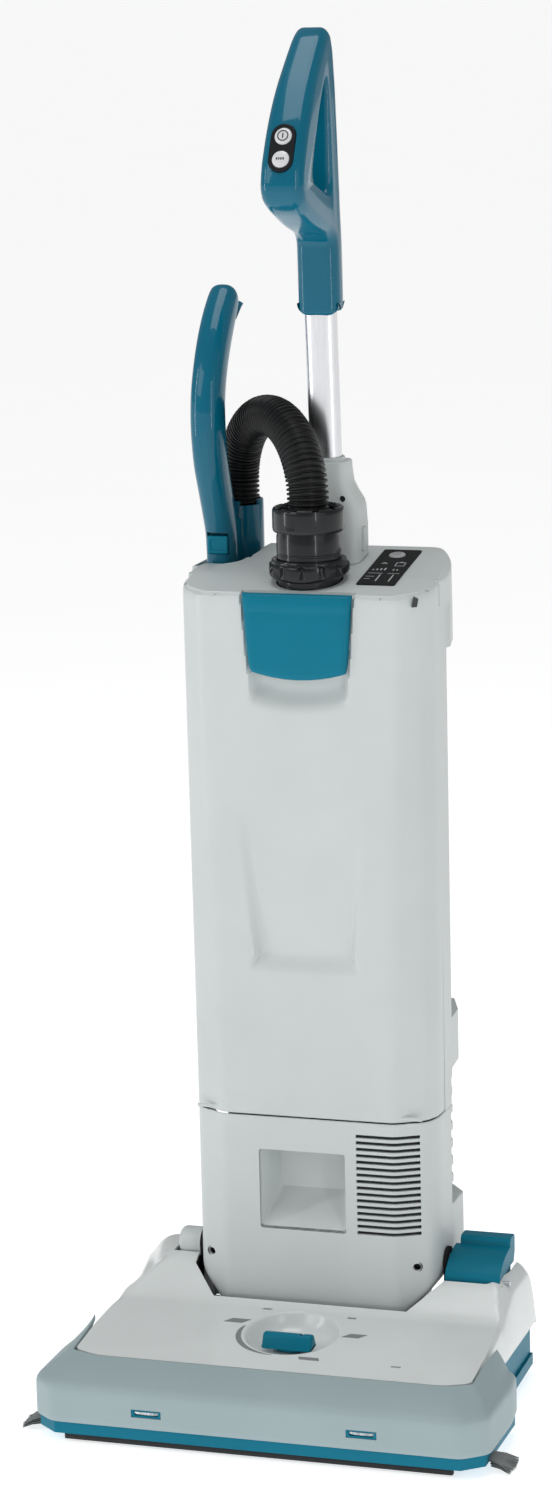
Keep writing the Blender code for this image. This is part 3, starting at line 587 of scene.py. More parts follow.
# ============================ hose ============================
def hose_route(spring=742.0, rise=60.0, low=694.0):
    start = Vector((CUFF[0], CUFF[1], 700))
    finish_at = Vector((SOCKET[0], SOCKET[1], low))
    top = Vector((CUFF[0], CUFF[1], spring))
    far = Vector((SOCKET[0], SOCKET[1], spring))
    points = [start + (top - start) * i / 4 for i in range(4)]
    for i in range(33):
        turn = math.pi * i / 32
        share = (1 - math.cos(turn)) / 2
        points.append(Vector((CUFF[0] + (SOCKET[0] - CUFF[0]) * share,
                              CUFF[1] + (SOCKET[1] - CUFF[1]) * share,
                              spring + rise * math.sin(turn))))
    points += [far + (finish_at - far) * i / 4 for i in range(1, 5)]
    return points


def corrugated(name, route, radius, groove, pitch, sides, material):
    """A ribbed tube whose rings follow the route at an even pitch."""
    pts = np.array([tuple(p) for p in route])
    seg = np.linalg.norm(np.diff(pts, axis=0), axis=1)
    total = np.concatenate([[0], np.cumsum(seg)])
    length = total[-1]
    ribs = int(length / pitch)
    shape = [(0.0, -groove), (0.16, -groove * 0.82), (0.32, -0.1), (0.5, 0.0), (0.68, -0.1),
             (0.84, -groove * 0.82)]
    rings = []
    before = None
    for k in range(ribs):
        for share, drop in shape:
            s = (k + share) / ribs * length
            c = Vector([float(np.interp(s, total, pts[:, d])) for d in range(3)])
            c2 = Vector([float(np.interp(min(s + 1.5, length), total, pts[:, d])) for d in range(3)])
            c1 = Vector([float(np.interp(max(s - 1.5, 0), total, pts[:, d])) for d in range(3)])
            way = (c2 - c1).normalized()
            if before is None:
                side = Vector((1, 0, 0))
            else:
                side = before
            side = (side - way * side.dot(way)).normalized()
            before = side
            other = way.cross(side)
            r = radius + drop
            rings.append([tuple(c + side * (r * math.cos(a)) + other * (r * math.sin(a)))
                          for a in (2 * math.pi * i / sides for i in range(sides))])
    obj = loft(name, rings, material)
    return smooth(obj, 75), length


HOSE_PLASTIC = plastic("hose_black", (0.007, 0.0075, 0.008), 0.36, grain=1200, grain_strength=0.2, coat=0.05,
                       coat_rough=0.2, mottle=0.2, specular=0.2)
route = hose_route()
hose, hose_length = corrugated("suction_hose", route, HOSE_R, 2.3, 4.0, 40, HOSE_PLASTIC)
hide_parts("hose")
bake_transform(hose)

# ============================ floor head ============================
DECK_SLOPE = 12.0 / 113.0


def deck_z(y):
    return 62.0 + (y + 128.0) * DECK_SLOPE


def soft_min(a, b, k):
    h = max(k - abs(a - b), 0) / k
    return min(a, b) - h * h * k / 4


def soft_max(a, b, k):
    return -soft_min(-a, -b, k)


def cover_profile(y):
    """Height of the cover's upper surface at this distance back."""
    slant = 75.0 + (y + 14.0) * 0.72
    top = 100.0 - 0.0009 * max(0.0, y - 45) ** 2
    return soft_max(deck_z(y), soft_min(slant, top, 7.0), 4.0)


# (y, half width) pairs: the cover's upper edge on each side, and its foot
COVER_EDGE = {
    -1: [(-128, 166.0), (-74, 166), (-40, 163.5), (-14, 158.5), (24, 149.5), (45, 157), (66, 163.5),
         (80, 164)],
    1: [(-128, 166.0), (-74, 166), (-40, 164.2), (-14, 162), (24, 161), (45, 162), (66, 163.5), (80, 164)],
}
COVER_FOOT = [(-128, 166.3), (-74, 166.6), (-58, 171), (80, 171)]
# (distance from the middle, y) pairs along the front edge
COVER_FRONT = [(0, -128), (140, -128), (146.5, -127.4), (152, -125.6), (163, -121.6), (166.5, -117)]
COVER_LOW = 46.3
SHOULDER_R = {-1: 25.0, 1: 12.0}
# (share of the way down, share of the way out) of the side walls between shoulder and foot
WALL_STEPS = ((0.06, 0.25), (0.14, 0.42), (0.3, 0.58), (0.55, 0.78), (0.8, 0.93), (1.0, 1.0))


def read(table, place):
    return float(np.interp(place, [a for a, _ in table], [b for _, b in table]))


def build_cover():
    """The deck with its shoulders: lines across the head, each run on down into both side walls."""
    ys_back = []
    y = -128.0
    while y < 70:
        ys_back.append(y)
        y += 2.6 if -24 < y < 34 else 5.0
    ys_back.append(70.0)
    us = [i / 44 for i in range(-44, 45)]
    lines = []
    for y in ys_back:
        ring = []
        for u in us:
            side = 1 if u > 0 else -1
            wide = read(COVER_EDGE[side], y)
            x = u * wide
            yy = max(y, read(COVER_FRONT, abs(x)))
            round_r = SHOULDER_R[side] * float(smoothstep(-14, 22, y))
            past = min(0.94, max(0.0, (abs(x) - wide) / round_r + 1.0)) if round_r > 0.5 else 0.0
            ring.append((x, yy, cover_profile(yy) - round_r * (1 - math.sqrt(1 - past * past))))
        walls = {}
        foot = read(COVER_FOOT, y)
        for side, corner in ((-1, ring[0]), (1, ring[-1])):
            wide, z_edge = read(COVER_EDGE[side], y), corner[2]
            walls[side] = [(side * (wide + (foot - wide) * out), max(y, -117.0),
                            z_edge + (50 - z_edge) * share)
                           for share, out in WALL_STEPS]
            walls[side].append((side * foot, max(y, -117.0), COVER_LOW))
        lines.append(walls[-1][::-1] + ring + walls[1])
    # the back edge rolls over into the rear wall, and the front edge into a short lip
    for back, drop in ((73.5, 1.2), (75.6, 3.4), (76.6, 7.0), (76.9, 20.0), (77.0, 60.0)):
        lines.append([(x, back, max(COVER_LOW, z - drop)) for x, _, z in lines[len(ys_back) - 1]])
    first = lines[0]
    lines.insert(0, [(x, y + 0.3, max(COVER_LOW, z - 2.2)) for x, y, z in first])
    lines.insert(0, [(x, y + 0.6, max(COVER_LOW, z - 6.0)) for x, y, z in first])
    return grid("cover_skin", lines, WHITE)


cover = build_cover()
thicken(cover, 2.2)
cone = [(0, 107.5), (27, 107.5), (59.0, 83.2), (59.0, -83.2), (27, -107.5), (0, -107.5)]
carve(cover, [
    lathe("cut_cone", cone, (0, *PIVOT), ALONG_X, 96),
    block("cut_body", (-107.5, 18, 30), (107.5, 120, 150)),
    plug(40.3, 40, -40, (*DIAL, 70), steps=96),
    prism("cut_pedal", rounded([(100, 16.5), (148, 16.5), (156.4, 40), (156.4, 95), (100, 95)],
                               [0.5, 6, 20, 0.5, 0.5], 6),
          "z", 60, 130),
    plug(13.2, 12, -14, (-117, *PIVOT), ALONG_X),
    block("cut_wheel_l", (-144, 58, 40), (-112, 90, 78)),
    block("cut_wheel_r", (112, 58, 40), (144, 90, 78)),
])
even_shading(smooth(cover, 32))
finish_piece(cover, "head", "head_cover", slot="cover_white")

# the height dish is its own turned skin, blended into the sloping deck
DISH = [(41.6, -0.02), (40.6, 0.0), (39.6, -0.25), (38.6, -1.0), (37.6, -2.4), (36.2, -4.8), (34.2, -7.6),
        (31.4, -10.0), (27.4, -11.8), (22, -12.9), (14, -13.4), (5.6, -13.5), (5.4, -17.0)]
DISH_STEPS = 96
lines = []
for r, drop in DISH:
    line = []
    for i in range(DISH_STEPS):
        turn = 2 * math.pi * i / DISH_STEPS
        y = DIAL[1] + r * math.sin(turn)
        z = deck_z(DIAL[1]) + (deck_z(y) - deck_z(DIAL[1])) * float(smoothstep(20, 39, r)) + drop + 0.04
        line.append((r * math.cos(turn), y, z))
    lines.append(line)
dish = grid("height_dish", lines, WHITE, wrap=True)
finish_piece(smooth(thicken(dish, 1.4), 50), "head", slot="cover_white")


def notch_cone(side):
    """Painted shade for the inside of the body notch, in front of the pivot: a dark sheet on part of a cone
    about the pivot.
    """
    rings = []
    for i in range(20):
        degrees = 26 + 50 * i / 19
        turn = math.radians(degrees)
        far = float(np.interp(degrees, [26, 34], [34.0, 60.0]))
        x_far = 108.2 - (far - 28.0) * 24.3 / 32.0
        rings.append([(side * x, PIVOT[0] - r * math.cos(turn), PIVOT[1] - r * math.sin(turn))
                      for r, x in ((28.0, 108.2), (far, x_far), (far + 1, x_far + 1.1), (29.0, 109.3))])
    return loft("cone", rings, BLACK_MATTE)


for side, name in SIDES:
    # painted shade: dark plates and cone sheets stand in for the shade inside the notch by the pivot
    low, high = sorted((side * 107.8, side * 109.0))
    wall = block("wall", (low, 19, 62), (high, 44, 96 if side < 0 else 84), BLACK_MATTE)
    carve(wall, [plug(13.2, 8, -8, (side * 108, *PIVOT), ALONG_X)])
    shade_sheet = carve(notch_cone(side), [wall], "UNION")
    shade_sheet.name = f"notch_shade_{name}"
    finish_piece(smooth(shade_sheet, 35), "head")
well = block("pedal_well", (110, 14.6, 58), (158.2, 76.4, 60), WHITE)
carve(well, [block("w", (156.8, 14.6, 59), (158.2, 76.4, 94.5)),
             block("w", (110, 14.6, 59), (158.2, 16.0, 91.5))], "UNION")
finish_piece(smooth(well, 30), "head", slot="cover_white")


# bumper: one moulded section carried round the front
def build_bumper():
    outer = rounded([(-188, -60), (-191.3, -84), (-190, -154), (-170.5, -170), (170.5, -170), (190, -154),
                     (191.3, -84), (188, -60)], [0, 16, 7, 6, 6, 7, 16, 0], 6, closed=False)
    inner = rounded([(-171.4, -58), (-168.2, -78), (-167.5, -122.4), (-146.3, -129.2), (146.3, -129.2),
                     (167.5, -122.4),
                     (168.2, -78), (171.4, -58)], [0, 16, 4, 3, 3, 4, 16, 0], 6, closed=False)
    rings = []
    for (ox, oy), (ix, iy) in zip(outer, inner):
        o, i = Vector((ox, oy)), Vector((ix, iy))
        way = (o - i).normalized()
        run = (o - i).length
        top = deck_z(iy) + (0.4 if iy < -100 else 0.2)

        def spot(inward, z, base=o, way=way):
            p = base - way * inward
            return (p.x, p.y, z)

        ring = [spot(1.6, 18.2), spot(0.5, 18.7), spot(0.1, 20.0), spot(0.0, 24.0), spot(0.0, 34.0),
                spot(0.0, 42.0),
                spot(0.1, 45.4), spot(0.6, 47.6), spot(1.7, 49.3), spot(3.6, 50.9), spot(6.4, 52.2)]
        for share in (0.3, 0.45, 0.6, 0.75, 0.88, 0.96):
            d = 6.4 + (run - 6.4) * share
            z = 52.2 + (top - 52.2) * share + 1.0 * math.sin(math.pi * share)
            ring.append(spot(d, z))
        ring += [spot(run - 0.7, top - 0.1), spot(run - 0.1, top - 0.7), spot(run, top - 1.8),
                 spot(run, top - 4.6),
                 spot(run - 2.0, top - 5.2), spot(min(run - 4, 12.0), 46.5), spot(4.6, 43.5),
                 spot(4.4, 18.4),
                 spot(2.6, 18.2)]
        rings.append(ring)
    return loft("bumper_shell", rings, BUMPER)


bumper = build_bumper()
carve(bumper, [block("cut_lamp_l", (-102.1, -180, 28.2), (-76.9, -160, 34.8)),
               block("cut_lamp_r", (76.9, -180, 28.2), (102.1, -160, 34.8))])
smooth(bumper, 40)
finish_piece(bumper, "head", "front_bumper", slot="bumper_blue_grey")

for side, name in SIDES:
    x = side * 89.5
    frame_ring = prism(f"lamp_frame_{name}", rounded([(x - 12.3, 28.4), (x + 12.3, 28.4),
                                                      (x + 12.9, 34.6), (x - 12.9, 34.6)],
                                                     1.2, 3), "y", -169.6, -165.2, TEAL_SATIN)
    carve(frame_ring, [prism("cut", rounded([(x - 9.6, 29.9), (x + 9.6, 29.9), (x + 11.0, 33.6),
                                             (x - 11.0, 33.6)], 0.8, 2),
                             "y", -175, -167.2)])
    soften(frame_ring, 0.25, 2)
    finish_piece(frame_ring, "head", slot="teal_matte")
    lens = sweep(f"lamp_lens_{name}", [((x, -167.6, 30.6), (0, 0, 1), 9.4, 1.2),
                                       ((x, -168.2, 31.7), (0, 0, 1), 10.2, 1.5),
                                       ((x, -167.6, 32.9), (0, 0, 1), 10.4, 1.2)], LENS, 24, 3.5)
    finish_piece(smooth(lens, 50), "head", f"lamp_{name}", slot="lamp_lens")

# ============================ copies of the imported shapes, softened ============================
NODES = frame["nodes"]


def packed(name):
    node = NODES[name]
    return bpy.data.objects[node if isinstance(node, str) else node.name]


def refine(node, body, material, width=0.7, segments=2, slot=None, angle=30):
    """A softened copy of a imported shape: rounded edges, even shading, its own material."""
    source = packed(node)
    mesh = source.data.copy()
    mesh.transform(source.matrix_world)
    mesh.materials.clear()
    mesh.materials.append(material)
    obj = bpy.data.objects.new(f"{node}_skin", mesh)
    bpy.context.scene.collection.objects.link(obj)
    soften(obj, width, segments, angle)
    return finish_piece(obj, body, node, slot=slot)


def repaint(material, *nodes):
    for node in nodes:
        for entry in packed(node).material_slots:
            entry.material = material


def normals_of(outline):
    """Unit normals of a closed outline, pointing out of it."""
    n = len(outline)
    area = sum(a[0] * b[1] - a[1] * b[0] for a, b in zip(outline, outline[1:] + outline[:1]))
    sign = 1 if area > 0 else -1
    found = []
    for i in range(n):
        a, b = Vector(outline[i - 1]), Vector(outline[(i + 1) % n])
        way = (b - a).normalized()
        found.append(Vector((way.y, -way.x)) * sign)
    return found


def pillow(name, outline, axis, low, high, radius, material=None, steps=5, width=None, both=True):
    """A prism whose rims are rounded over; width scales the first coordinate along the third."""
    ways = normals_of(outline)
    spots = PLACES[axis]
    layers = []
    turns = [math.pi / 2 * i / steps for i in range(steps + 1)]
    for t in turns:
        layers.append((radius * (1 - math.sin(t)), low + radius * (1 - math.cos(t)) if both else low))
    if not both:
        layers = [(0.0, low)]
    for t in reversed(turns):
        layers.append((radius * (1 - math.sin(t)), high - radius * (1 - math.cos(t))))
    rings = []
    for inset, height in layers:
        ring = []
        for p, w in zip(outline, ways):
            ring.append(spots(p[0] - w.x * inset, p[1] - w.y * inset, height))
        rings.append(ring)
    if width:
        rings = [[(x * width(y, z), y, z) for x, y, z in ring] for ring in rings]
    return loft(name, rings, material)


# ============================ upright body ============================
def soft_outline(flat, half, back, radius=5.0, front=-4.0, steps=6):
    """The right-hand half of the body's plan, from the middle of its front to its back edge."""
    corners = [(0, front), (flat, front), (half - 5.5, front + 14), (half, front + 30), (half, back)]
    return rounded(corners, [0, radius, radius + 2, radius + 5, 0], steps, closed=False)


def dense(line, step):
    """More points along an open line, none further apart than step."""
    found = [line[0]]
    for a, b in zip(line, line[1:]):
        count = max(1, int(math.ceil((Vector(b) - Vector(a)).length / step)))
        for i in range(1, count + 1):
            found.append((a[0] + (b[0] - a[0]) * i / count, a[1] + (b[1] - a[1]) * i / count))
    return found


def top_z(y):
    return 670.0 + (y + 4.0) * 20.0 / 122.0


def door_depth(x, z):
    """How far the door's face is set in at this place."""
    ax = abs(x)
    deep = 0.0
    if 352 < z < 505:
        half = np.interp(z, [354, 372, 505], [51, 42.5, 58])
        fall = np.interp(z, [354, 372, 505], [4, 5, 12])
        rise = float(smoothstep(355.5 + 0.0012 * ax * ax, 371 + 0.0012 * ax * ax, z))
        amount = 7.0 * rise * float(np.interp(z, [372, 500], [1, 0]))
        deep = max(deep, amount * float(1 - smoothstep(half - fall, half + 0.5, ax)))
    if 568 < z < 606:
        floor = 575.5 + 0.0035 * ax * ax
        amount = 10.5 * float(smoothstep(floor - 3, floor + 17, z)) ** 1.1
        deep = max(deep, amount * float(1 - smoothstep(36.5, 42.0, ax)))
    if z >= 598:
        half = np.interp(z, [598, 607, 672], [41.2, 42.2, 47.2])
        amount = (3.0 if z > 604.5 else 0.0) + 3.4 * float(smoothstep(650, 658, z))
        deep = max(deep, amount * float(1 - smoothstep(half - 0.6, half + 0.6, ax)))
    return deep


def spline_even(line, count):
    pts = np.array(line, float)
    seg = np.linalg.norm(np.diff(pts, axis=0), axis=1)
    total = np.concatenate([[0], np.cumsum(seg)])
    wanted = np.linspace(0, total[-1], count)
    return np.stack([np.interp(wanted, total, pts[:, 0]), np.interp(wanted, total, pts[:, 1])], 1)


def build_door():
    low = dense(soft_outline(73, 104, 42), 2.1)
    high = dense(soft_outline(83, 105.5, 42), 2.1)
    count = 92
    low = [tuple(p) for p in spline_even(low, count)]
    high = [tuple(p) for p in spline_even(high, count)]
    zs = [234.8, 235.2, 236.2, 239]
    z = 245.0
    while z < 652:
        zs.append(z)
        z += 2.0 if (350 < z < 380 or 568 < z < 612) else 7.0
    zs += [655, 661, 664.6, 667.2, 668.9]
    lines = []
    for z in zs:
        share = min(1.0, (z - 234.8) / 420.0)
        inset = {234.8: 1.1, 235.2: 0.5, 236.2: 0.0}.get(z, 0.0)
        if z > 661:
            inset = 4.2 - math.sqrt(max(0.0, 4.2 ** 2 - (z - 664.8) ** 2)) if z > 664.8 else 0.0
        half = []
        for a, b in zip(low, high):
            x, y = a[0] + (b[0] - a[0]) * share, a[1] + (b[1] - a[1]) * share
            rise = 0.0
            if z > 640:
                rise = (top_z(y) - top_z(-4)) * (z - 640) / 29.0
            half.append((x, y + (door_depth(x, z) if y < -2 else 0.0), z + rise, inset))
        line = []
        for x, y, zz, ins in half:
            line.append((max(0.0, x - ins) if x > 70 else x, y + (ins if y < 20 else 0), zz))
        lines.append([(-x, y, zz) for x, y, zz in reversed(line[1:])] + line)
    obj = grid("door_panel", lines, GREY, (0, 40, 450))
    return even_shading(shell(obj, (0, 40, 450), 2.4, 28))


door = build_door()
finish_piece(door, "door", "bag_door", slot="shell_grey")


def build_housing():
    plan = [tuple(p) for p in spline_even(dense(soft_outline(73, 104, 62), 2.1), 84)]
    zs = [50.4, 51, 52, 53.5, 55.5, 58, 60.5, 63, 65, 67, 69, 71, 73, 75, 77, 79, 82, 85, 88, 91, 94, 97,
          101, 106]
    z = 112.0
    while z < 229:
        zs.append(z)
        z += 6.0
    zs += [231, 232.6, 233.4, 233.7]
    lines = []
    for z in zs:
        inset = {233.4: 0.4, 233.7: 1.0}.get(z, 0.0)
        reach = max(0.0, 56.0 ** 2 - (106.0 - z) ** 2)
        front = 40.0 - math.sqrt(reach) if z < 104 else -16.0
        half = float(np.interp(z, [40, 71, 95, 99, 300], [81, 81, 104.2, 108, 400]))
        line = []
        for x, y in plan:
            xx = soft_min(x, half, 6.0)
            yy = soft_max(y, front, 6.0)
            xx = xx - inset if xx > 90 else xx
            yy = yy + (inset if yy < 0 else 0)
            line.append((max(0.0, xx), yy, z))
        lines.append([(-x, y, zz) for x, y, zz in reversed(line[1:])] + line)
    return shell(grid("motor_cover", lines, GREY, (0, 40, 150)), (0, 40, 150), 2.6, 30)


housing = build_housing()
recess_front = rounded(rect(-43.0, 137.0, 31.0, 205.5), 2.2, 3)
recess_back = rounded(rect(-34.5, 164.0, 22.0, 200.0), 4.0, 3)


def recess_ring(y):
    share = (y + 4.0) / 34.0
    return [(a[0] + (b[0] - a[0]) * share, y, a[1] + (b[1] - a[1]) * share)
            for a, b in zip(recess_front, recess_back)]


slot_plan = [(40.5, -9.0), (73.4, -9.0), (92.3, 1.2), (92.3, 10.4), (89.4, 11.6), (71.2, 1.9), (40.5, 1.9)]
cutters = [loft("cut_recess", [recess_ring(-9), recess_ring(10)])]
for i in range(16):
    low = 138.0 + 5.5 * i
    cutters.append(prism(f"cut_slot_{i}", slot_plan, "z", low, low + 2.9))
for side, _ in SIDES:
    cutters.append(plug(3.1, 12, -12, (side * SCREW_WELL[0], 6, SCREW_WELL[1]), ALONG_Y, 24))
carve(housing, cutters)
even_shading(smooth(housing, 30))
finish_piece(housing, "upright", "motor_housing", slot="shell_grey")

cup = grid("grip_recess", [recess_ring(y) for y in (-3.6, 2, 8, 16, 24, 28.0)]
           + [[(x * 0.97 - 0.2, 29.6, 182 + (z - 182) * 0.95) for x, y, z in recess_ring(29.0)],
              [(-6.25, 30.0, 182.0)] * len(recess_front)], GREY, (-6, 10, 175), wrap=True)
cup.data.flip_normals()
finish_piece(smooth(thicken(cup, 1.4), 35), "upright", slot="shell_grey")

# painted shade: a dark plate seen through the slots stands in for the shade inside them; and the blind ends
# of the two screw wells
back_plan = [(38.5, -0.2), (71.6, -0.2), (93.0, 11.8), (92.4, 13.2), (70.8, 1.4), (38.5, 1.4)]
vent_shade_plate = prism("vent_shade_backing", back_plan, "z", 135.5, 226.5, WELL)
finish_piece(smooth(vent_shade_plate), "upright")
for side, name in SIDES:
    well = lathe(f"screw_well_{name}", [(0, -1), (1.7, -1), (1.9, -0.4), (3.4, 0), (3.9, -6), (4.4, -6),
                                        (4.4, 4), (0, 4)],
                 (side * SCREW_WELL[0], 11.5, SCREW_WELL[1]), ALONG_Y, 24, INK_DARK)
    finish_piece(smooth(well), "upright")

# latch
def build_latch():
    half_columns = [0.25, 0.5, 0.7, 0.85, 0.94, 0.97, 0.985, 0.995, 1.0]
    columns = [-u for u in reversed(half_columns)] + [0] + half_columns
    face = [(-1.4, 670.4), (-3.4, 670.6), (-5.4, 669.9), (-7.1, 668.2), (-8.2, 665.6), (-8.6, 662.6),
            (-8.5, 659.2), (-8.0, 656.8), (-7.75, 655.4), (-7.95, 653.6), (-8.15, 648), (-8.25, 630),
            (-8.25, 614),
            (-8.2, 606.4), (-7.8, 603.6), (-6.9, 601.6), (-5.2, 600.6), (-3.4, 600.5), (-1.4, 601.6)]
    rings = []
    for u in columns:
        ring = []
        for y, z in face:
            half = float(np.interp(z, [598, 607, 672], [39.2, 41.0, 46.0]))
            lift = 6.2 * u * u * float(1 - smoothstep(600, 622, z))
            edge = max(0.0, abs(u) - 0.94) / 0.06
            keep = math.sqrt(max(0.0, 1 - edge ** 2)) * 0.94 + 0.06
            ring.append((u * half, -1.4 + (y + 1.4) * keep, z + lift))
        rings.append(ring)
    return loft("latch_flap", rings, TEAL_SATIN)


finish_piece(smooth(build_latch(), 50), "latch", "door_latch", slot="teal_matte")

# top cover: its front part drops inside the door's rim
top_half = [(78.5, -0.6), (97.5, 11.6), (102.2, 28), (102.4, 42.2), (106.0, 42.4), (108.0, 72),
            (100, 104), (86, 131)]
top_radii = [3, 8, 10, 0.2, 0.2, 14, 14, 10]
top_plan = rounded(mirror_outline(top_half), top_radii + top_radii[::-1], 5)
top_ways = normals_of(top_plan)


def build_top():
    rings = []
    radius = 6.0
    for t in [None] + [math.pi / 2 * i / 6 for i in range(7)]:
        ring = []
        for (x, y), w in zip(top_plan, top_ways):
            near = float(smoothstep(36, 60, y))
            r = 1.2 + (radius - 1.2) * near
            inset = 0.0 if t is None else r * (1 - math.cos(t))
            px, py = x - w.x * inset, y - w.y * inset
            z = 655.5 if t is None else top_z(py) - r * (1 - math.sin(t)) - 0.25 * (1 - near)
            if y > 118 and t is not None:
                z -= 0.10 * (y - 118)
            ring.append((px, py, z))
        rings.append(ring)
    return loft("top_deck", rings, GREY)


top = build_top()
carve(top, [
    block("cut_latch", (-47.6, -20, 650), (47.6, 5.6, 690)),
    block("cut_holder", (-140, 84.4, 640), (-65.6, 180, 720)),
    plug(27.2, 60, -60, (*CUFF, 660)),
    block("cut_tube", (-15, 78, 640), (15, 106, 720)),
])
carve(top, [prism("cut_wand", rounded([(-130, 26), (-89.0, 30), (-88.6, 64), (-72.5, 73), (-64, 96),
                                       (-60, 140), (-130, 140)],
                                      [0, 2, 4, 6, 6, 0, 0], 4), "z", 678.5, 720)])
even_shading(smooth(top, 30))
finish_piece(top, "upright", "top_cover", slot="shell_grey")

# control label with generic marks
slope = math.atan2(20, 122)
up_slope = Vector((0, -math.sin(slope), math.cos(slope)))
back_slope = Vector((0, math.cos(slope), math.sin(slope)))
panel_mid = Vector((57.5, 67.5, top_z(67.5)))


def on_panel(name, outline, low, high, material):
    rings = []
    for lift in (low, high):
        rings.append([tuple(panel_mid + Vector((a, 0, 0)) + back_slope * b + up_slope * lift)
                      for a, b in outline])
    return loft(name, rings, material)


label = on_panel("control_label", rounded(rect(-16, -44, 16, 44), 2.0, 4), -0.8, 0.9, BLACK_MATTE)
key_at = (56, 97, top_z(97))
for holder in (label, top):
    carve(holder, [plug(7.3, 3, -3, key_at, tuple(up_slope), 48)])
smooth(top, 30)
soften(label, 0.25, 2)
finish_piece(label, "upright", "control_panel", slot="black_plastic")


def frame_line(a0, b0, a1, b1, thick):
    """The four thin sides of a rectangle."""
    return [rect(a0, b0, a1, b0 + thick), rect(a0, b1 - thick, a1, b1),
            rect(a0, b0, a0 + thick, b1), rect(a1 - thick, b0, a1, b1)]


marks = frame_line(3.5, 2.0, 11.5, 11.0, 0.7) + [rect(6, 11.3, 9, 12.3)]
marks += [rect(-9, 7, -3.5, 7.8), rect(-8, 9.4, -4.5, 10.2)]
marks += [rect(-12 + 3.2 * k, -9, -10.6 + 3.2 * k, -7 + 1.2 * k) for k in range(4)]
marks += [rect(5, -9, 6.2, -6), rect(8, -9, 9.2, -6)]
marks += [rect(-13, -17, -1, -16.3), rect(3, -17, 13, -16.3)]
marks += [rect(-2.6 + 11 * k, -36, -1.6 + 11 * k, -20) for k in (0, 1)]
marks += [rect(-13, -25, -6, -24.3), rect(-13, -31, -8, -30.3)]
pieces = [on_panel(f"mark_{i}", outline, 0.85, 0.98, INK_LIGHT) for i, outline in enumerate(marks)]


def merge(name, objs):
    """One mesh from several, keeping their materials."""
    target = objs[0]
    with bpy.context.temp_override(active_object=target, object=target, selected_objects=objs,
                                   selected_editable_objects=objs):
        bpy.ops.object.join()
    target.name = name
    return target


finish_piece(merge("label_marks", pieces), "upright")
ring_profile = [(0, 2.1), (3.2, 2.15), (5.4, 1.95), (6.5, 1.5), (6.9, 0.9), (6.9, 0.2), (0, 0.2)]
key = lathe("panel_key_cap", ring_profile, key_at, tuple(up_slope), 48, KEY_SILVER)
ring = lathe("key_ring", [(2.9, 2.3), (3.3, 2.3), (3.3, 2.0), (2.9, 2.0)], key_at, tuple(up_slope), 32, INK)
bar = on_panel("key_bar", rect(-1.7, 28.6, -1.3, 31.6), 2.0, 2.35, INK)
smooth(key, 35)
finish_piece(merge("panel_key_cap", [key, ring, bar]), "panel_key", "panel_button", slot="button_white")

# painted shade: a dark wedge stands in for the shade inside the small catch slot in the top's front corner
slot_shade = loft("corner_slot_shade", [[(94.2, 1.8, 661.5), (97.6, 4.4, 661.5), (98.6, 5.6, 668.0),
                                   (95.6, 2.6, 670.2)],
                                  [(93.2, 4.0, 661.5), (96.4, 6.4, 661.5), (97.4, 7.4, 668.0),
                                   (94.6, 4.8, 670.2)]], WELL)
finish_piece(smooth(slot_shade), "upright")

# ============================ rear of the body ============================
for node, body, width, segments in (("rear_shell", "upright", 0.9, 2), ("rear_base", "upright", 1.2, 3),
                                    ("exhaust_grille", "upright", 1.2, 2),
                                    ("battery_cover", "battery_lid", 0.8, 2),
                                    ("wand_holder", "upright", 0.6, 2)):
    refine(node, body, GREY, width, segments, "shell_grey")
refine("head_base", "head", TEAL_SATIN, 0.8, 2, "teal_matte")
refine("lock_tab", "tube_lock", GREY, 0.5, 3, "shell_grey")

# ============================ hose inlet ============================
def notched(name, profile, centre, steps, cut, material):
    """A turned ring whose profile changes with the angle; cut gives each point's (radius, height)."""
    rings = []
    for i in range(steps):
        angle = 2 * math.pi * i / steps
        ring = []
        for r, h in profile:
            r, h = cut(math.degrees(angle), r, h)
            ring.append((centre[0] + r * math.cos(angle), centre[1] + r * math.sin(angle), centre[2] + h))
        rings.append(ring)
    return loft(name, rings, material, closed_path=True)


def flange_cut(angle, r, h):
    near = abs((angle + 10) % 30 - 15)
    if r > 31 and h > 6.5 and near < 5.0:
        return r - 2.2, h - 0.6
    return r, h


flange_profile = [(26.5, 1.2), (26.5, 12.6), (27.6, 13.4), (30.0, 13.4), (30.6, 12.4), (30.7, 10.6),
                  (31.9, 10.2), (32.5, 9.4), (32.6, 7.4), (32.6, 3.6), (32.3, 2.2), (31.4, 1.4)]
flange = notched("inlet_flange", flange_profile, (*CUFF, 0), 144, flange_cut, BLACK)
# its foot follows the sloping top, and its rim stays level
for v in flange.data.vertices:
    y = v.co.y / MM - 10
    v.co.z += (680.6 + (top_z(y) - top_z(34)) * max(0.0, 1 - v.co.z / MM / 9.0)) * MM
smooth(flange, 42)
finish_piece(flange, "upright", "hose_flange", slot="black_plastic")

barrel_profile = [(21.5, 724), (21.5, 700), (21.5, 657), (26.2, 657), (26.2, 690), (26.2, 697),
                  (25.9, 697.6),
                                (25.9, 698.6), (26.2, 699.2), (26.2, 712), (25.6, 714.6), (25.2, 724)]
barrel = lathe("inlet_barrel", barrel_profile, (*CUFF, 0), ALONG_Z, 72, BLACK)
finish_piece(smooth(barrel, 25), "upright", "hose_cuff", slot="black_plastic")


def ring_cut(angle, r, h):
    near = abs((angle + 7) % 36 - 18)
    if r < 28 and h > 733 and near < 4.5:
        return r, h - 1.6
    return r, h


